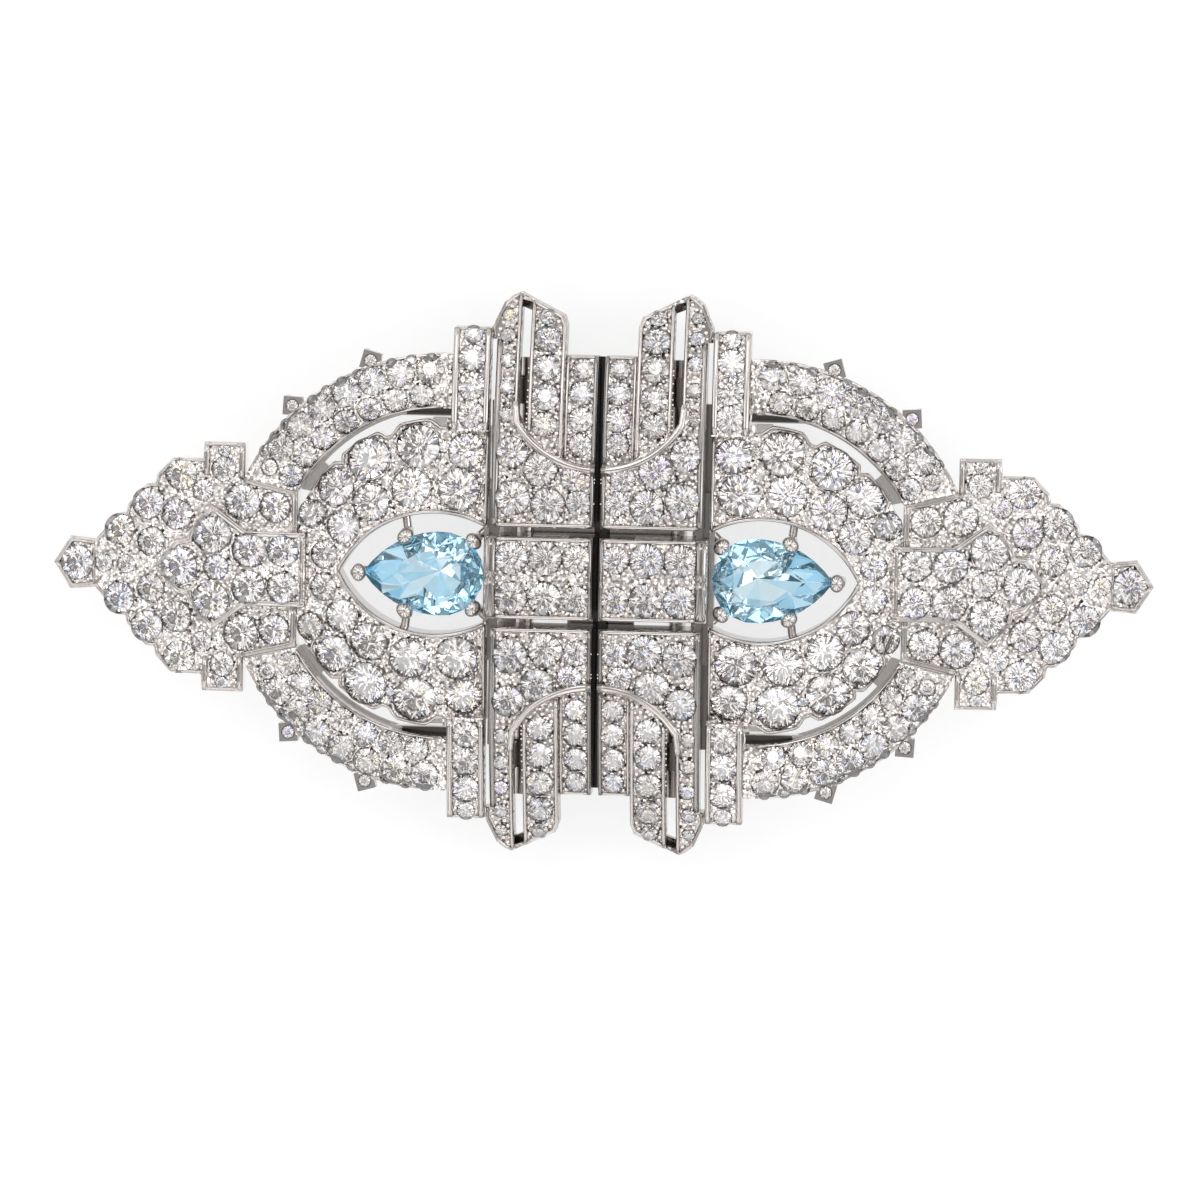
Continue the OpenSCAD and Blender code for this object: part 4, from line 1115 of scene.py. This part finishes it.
def grains(surface, polygon, holes, stones, lines, rng):
    """Grain places of one surface: (place, direction, radius, turn), for y above 0."""
    xs, ys = zip(*polygon)
    grid = np.mgrid[min(xs):max(xs):TRY_STEP, max(min(ys), FROM_Y):max(ys):TRY_STEP]
    tries = grid.reshape(2, -1).T
    tries = tries + rng.uniform(-0.5, 0.5, tries.shape) * TRY_STEP
    tries = tries[inside(tries, polygon)]
    for hole in holes:
        tries = tries[~inside(tries, hole)]
    room = np.full(len(tries), GRAIN_MAX)
    for x, y, r in stones:
        room = np.minimum(room, np.hypot(tries[:, 0] - x, tries[:, 1] - y) - r + UNDER_STONE)
    for path, width in lines:
        room = np.minimum(room, line_distance(tries, path) - width / 2 + ON_BORDER)
    keep = room > GRAIN_MIN
    tries, room = tries[keep], room[keep]
    order = np.argsort(-room + rng.uniform(0, SHUFFLE, len(room)))
    taken = []
    for i in order:
        p, r = tries[i], room[i]
        if all((p[0] - q[0]) ** 2 + (p[1] - q[1]) ** 2 > (APART * (r + s)) ** 2
               for q, s in taken[-LOOK_BACK:]):
            taken.append((p, r))
    return [(on_metal(surface, *p), outward(surface, *p), float(r), float(rng.uniform(0, 6)))
            for p, r in taken]


# %% Outlines that hold grains
def edge_of(x, y, r, start, end):
    return circle_path(x, y, r, start, end, step=3)


CREST = [(LEAF_X, 0)] + CREST_EDGE
FAN_RIM = edge_of(*RIM, RIM_R, 271, 329)
PILLAR = [(7.75, 10.02), (10.35, 10.02), (10.35, 17.2), (7.75, 17.2)]
# Surface, outline, outlines left out, other lines to keep clear of
REGIONS = {
    "leaf": [("leaf", LEAF_EDGE, [CREST], [(CREST_EDGE, 0.1)]),
             ("crest", CREST, [], [])],
    "lunette": [("dome", PEAR_EDGE + [(20.5, 0), (20.5, 2.65), (21.1, 2.65), (21.1, 3.8)]
                 + LUNETTE_EDGE[::-1] + [(10.35, 10.02), (7.75, 10.02)], [], []),
                ("pillar", PILLAR, [], [])],
    "arc": [("arc", edge_of(ROUND_X, 0, 15.25, 92, 24.9)
             + edge_of(ROUND_X, 0, 11.55, 28.6, 92.5), [], [])],
    "fans": [("fan", [(0.25, 3.5), (7.35, 3.5), (7.35, 16.4), (7.68, 16.4), (7.68, 17.3),
                      (6.95, 18.95), (6.35, 19.45), (5.9, 19.65), (5.7, 19.57), (5.7, 10.5)]
              + edge_of(*RIM, 6.8, 325, 271), [], [(FAN_RIM, 0.45)]),
             ("middle", edge_of(*RIM, 6.4, 292, 321)
              + [(5, 19.2), (2.75, 18.1), (2.5, 17.4)], [], [(FAN_RIM, 0.5)]),
             ("inner", edge_of(*RIM, 6.4, 271.5, 292)
              + [(2.6, 15.35), (0.25, 15.35)], [], [(FAN_RIM, 0.5)]),
             ("bridge", [(0.25, 0), (6.95, 0), (6.95, 2.85), (0.25, 2.85)], [], [])],
}


# %% Plant the grains
def grain_pattern(sides=6):
    """A bead of radius 1, a little flatter than a ball, closed below."""
    verts = ring(sides, 0.9, -0.45) + ring(sides, 1.0, 0.05) + ring(sides, 0.8, 0.55)
    verts.append((0, 0, 0.86))
    faces = band(0, sides, sides) + band(sides, 2 * sides, sides)
    top = 3 * sides
    faces += [(2 * sides + i, 2 * sides + (i + 1) % sides, top) for i in range(sides)]
    faces.append(tuple(reversed(range(sides))))
    return verts, faces


bead = pattern("grain_pattern", grain_pattern(), GRAIN, smooth=True)
GRAIN_TREE = setting_tree("grain_setting", GRAIN, bead)
SIZE_SPREAD = 0.18
rng = np.random.default_rng(5)
NEIGHBOURS = {"leaf": ["right_leaf"], "lunette": ["right_lunette"],
              "arc": ["right_upper_arc"], "fans": ["right_fan", "right_bridge"]}
for unit, regions in REGIONS.items():
    stones = [(p.x, p.y, r) for key in NEIGHBOURS[unit]
              for p, _, r, *_ in STONES[key] + SMALL_STONES.get(key, [])]
    places = []
    for surface, outline, holes, clear in regions:
        lines = clear + [(line[0], line[2]) for line in BORDERS[unit] if line[1] == surface]
        places += grains(surface, outline, holes, stones, lines, rng)
    sides = on_all_sides(places)
    for clip in ("right", "left"):
        upper, lower = sides[clip, "upper"], sides[clip, "lower"]
        pieces = {"upper_arc": upper, "lower_arc": lower} if unit == "arc" else {unit: upper + lower}
        for place, points in pieces.items():
            dress(set_on_points(f"{clip}_{place}_grains", GRAIN_TREE, points,
                                Size_Spread=SIZE_SPREAD), "platinum")
    print(unit, "grains on one half of a clip:", len(places))

# %% [markdown]
# ## Aquamarines
#
# Pear-shaped brilliants with eleven mains. The crown has a table, stars, bezels and upper
# halves. The pavilion has a shallow outer row, a steeper middle row and a flat cone round
# the culet, and gets shallower towards the tip, so that one sees through much of the
# stone to the pale floor. The outline is the CAD stone's. The facets are a little uneven,
# as they were cut by hand, and each has a tone of its own, painted light and shade.

# %% Outline of the pear
AQUA_X, AQUA_W, AQUA_TIP = 10.9, 2.95, 16.4  # middle of the round end, half width, tip
AQUA_Z, AQUA_MID = 7.3, 11.4
AQUA_EDGE, AQUA_CULET = 0.07, 2.2  # half of the edge's height, depth of the culet
# Rings of the stone: share of the outline, rise from the edge's middle, unevenness
TABLE_RING, STAR_RING = (0.58, 0.95, 0.0), (0.82, 0.53, 0.02)
OUTER_ROW, MIDDLE_ROW = (0.82, -0.50, 0.03), (0.47, -1.52, 0.14)
# Deep rings lose this much of their depth at the tip and at the round end, from there on
TIP_LOSS, TIP_FROM, END_LOSS, END_FROM = 0.78, 12, 0.22, 10
TONE_X, TONE_LENGTH, TONE_WIDTH = 11.0, 5.0, 2.9  # the oval round which facets get deep
# Painted light and shade of the facets: tone in its middle, loss at its edge, unevenness
CROWN_TONE, PAVILION_TONE = (0.85, 0.35, 0.12), (0.80, 0.45, 0.45)
CULET_OFF = (-0.3, 0.1)  # it was cut a little off the middle


def pear_outline(count):
    """Points round the pear from its tip, evenly spread along the outline."""
    length = AQUA_TIP - AQUA_X
    big = (length**2 + AQUA_W**2) / (2 * AQUA_W)
    tip = math.asin((big - AQUA_W) / big)
    fine = [(AQUA_X + big * math.cos(a), AQUA_W - big + big * math.sin(a))
            for a in np.linspace(tip, math.pi / 2, 200)]
    fine += [(AQUA_X + AQUA_W * math.cos(a), AQUA_W * math.sin(a))
             for a in np.linspace(math.pi / 2, math.pi, 200)[1:]]
    fine += [(x, -y) for x, y in fine[-2::-1]]
    run = np.concatenate([[0], np.cumsum([math.dist(a, b) for a, b in zip(fine, fine[1:])])])
    want = np.linspace(0, run[-1], count, endpoint=False)
    return [tuple(float(np.interp(w, run, column)) for column in zip(*fine)) for w in want]


# %% A pear-shaped brilliant
def pear_ring(points, chance, k, rise, uneven=0.0):
    """The outline made smaller. Deep rings are less deep towards tip and round end."""
    out = []
    for x, y in points:
        share = 1.0
        if rise < OUTER_ROW[1]:
            share -= TIP_LOSS * max(0.0, (x - TIP_FROM) / (AQUA_TIP - TIP_FROM))
            share -= END_LOSS * max(0.0, (END_FROM - x) / (END_FROM - AQUA_X + AQUA_W))
        out.append((AQUA_MID + (k + chance.uniform(-uneven, uneven)) * (x - AQUA_MID),
                    (k + chance.uniform(-uneven, uneven)) * y,
                    AQUA_Z + rise * share + chance.uniform(-uneven, uneven)))
    return out


def pear_brilliant(chance, mains=11):
    """Points and faces in mm: table, stars, bezels, halves, edge, three pavilion rows."""
    outline = pear_outline(2 * mains)
    even, odd = outline[::2], outline[1::2]
    verts = []
    for points, ring_of in ((even, TABLE_RING), (odd, STAR_RING), (outline, (1.0, AQUA_EDGE)),
                            (outline, (1.0, -AQUA_EDGE)), (odd, OUTER_ROW), (even, MIDDLE_ROW)):
        verts += pear_ring(points, chance, *ring_of)
    verts.append((AQUA_MID + CULET_OFF[0], CULET_OFF[1], AQUA_Z - AQUA_CULET))
    return verts, brilliant_faces(mains, pointed=True)


def paint_facet_light(stone, chance):
    """Painted light and shade: light facets in the middle, deeper ones near the tip and below the
    edge.
    """
    tones = []
    for face in stone.data.polygons:
        x, y = abs(face.center.x) / MM, abs(face.center.y) / MM
        off = min(math.hypot((x - TONE_X) / TONE_LENGTH, y / TONE_WIDTH), 1.0)
        crown = face.normal.z > 0
        middle, loss, spread = CROWN_TONE if crown else PAVILION_TONE
        tone = middle - loss * (off**2 if crown else off)
        tones.append(min(max(tone + chance.uniform(-spread, spread), 0.0), 1.0))
    stone.data.attributes.new("facet_tone", "FLOAT", "FACE").data.foreach_set("value", tones)


# %% Make the aquamarines
for clip, seed in (("right", 4), ("left", 9)):
    chance = random.Random(seed)
    verts, faces = pear_brilliant(chance)
    if clip == "left":
        verts, faces = mirrored(verts, faces, 0)
    stone = facing_out(new_object(f"{clip}_pear_aquamarine", verts, faces, AQUA))
    paint_facet_light(stone, chance)
    dress(stone, "aquamarine", f"{clip}_aquamarine")
print("aquamarine facets:", len(faces))

# %% [markdown]
# ## Claw tips
#
# Five claws hold each aquamarine. A claw's tip was pressed over the stone with a hollow
# punch, which leaves a polished bead, longer along the stone's edge than across it. These
# beads cover the rounded ends of the CAD claws.

# %% Beads of the claws
CLAW_TIPS = ((13.4, 2.6), (8.65, 2.35), (16.65, 0.0), (8.65, -2.35), (13.4, -2.6))
TIP_Z, TIP_HALF = 7.94, (0.52, 0.64, 0.54)


def claw_tip(x, y, around=16, rows=8):
    """A ball stretched across the line from the stone's middle to (x, y)."""
    along = Vector((x - AQUA_MID, y, 0)).normalized() * TIP_HALF[0]
    across = UP.cross(along).normalized() * TIP_HALF[1]
    middle, pole = Vector((x, y, TIP_Z)), UP * TIP_HALF[2]
    verts, faces = [middle + pole, middle - pole], []
    last = 2 + (rows - 2) * around
    for row in range(1, rows):
        a = math.pi * row / rows
        verts += [middle + along * u + across * v + pole * w
                  for u, v, w in ring(around, math.sin(a), math.cos(a))]
    for i in range(around):
        j = (i + 1) % around
        faces += [(0, 2 + i, 2 + j), (1, last + j, last + i)]
    for row in range(rows - 2):
        faces += band(2 + (row + 1) * around, 2 + row * around, around)
    return verts, faces


tips = joined(*(claw_tip(x, y) for x, y in CLAW_TIPS))
for clip, mesh in (("right", tips), ("left", mirrored(*tips, 0))):
    piece = new_object(f"{clip}_claw_tips", *mesh, POLISHED, smooth=True)
    dress(facing_out(piece), "platinum")
print("claw tips:", 2 * len(CLAW_TIPS))
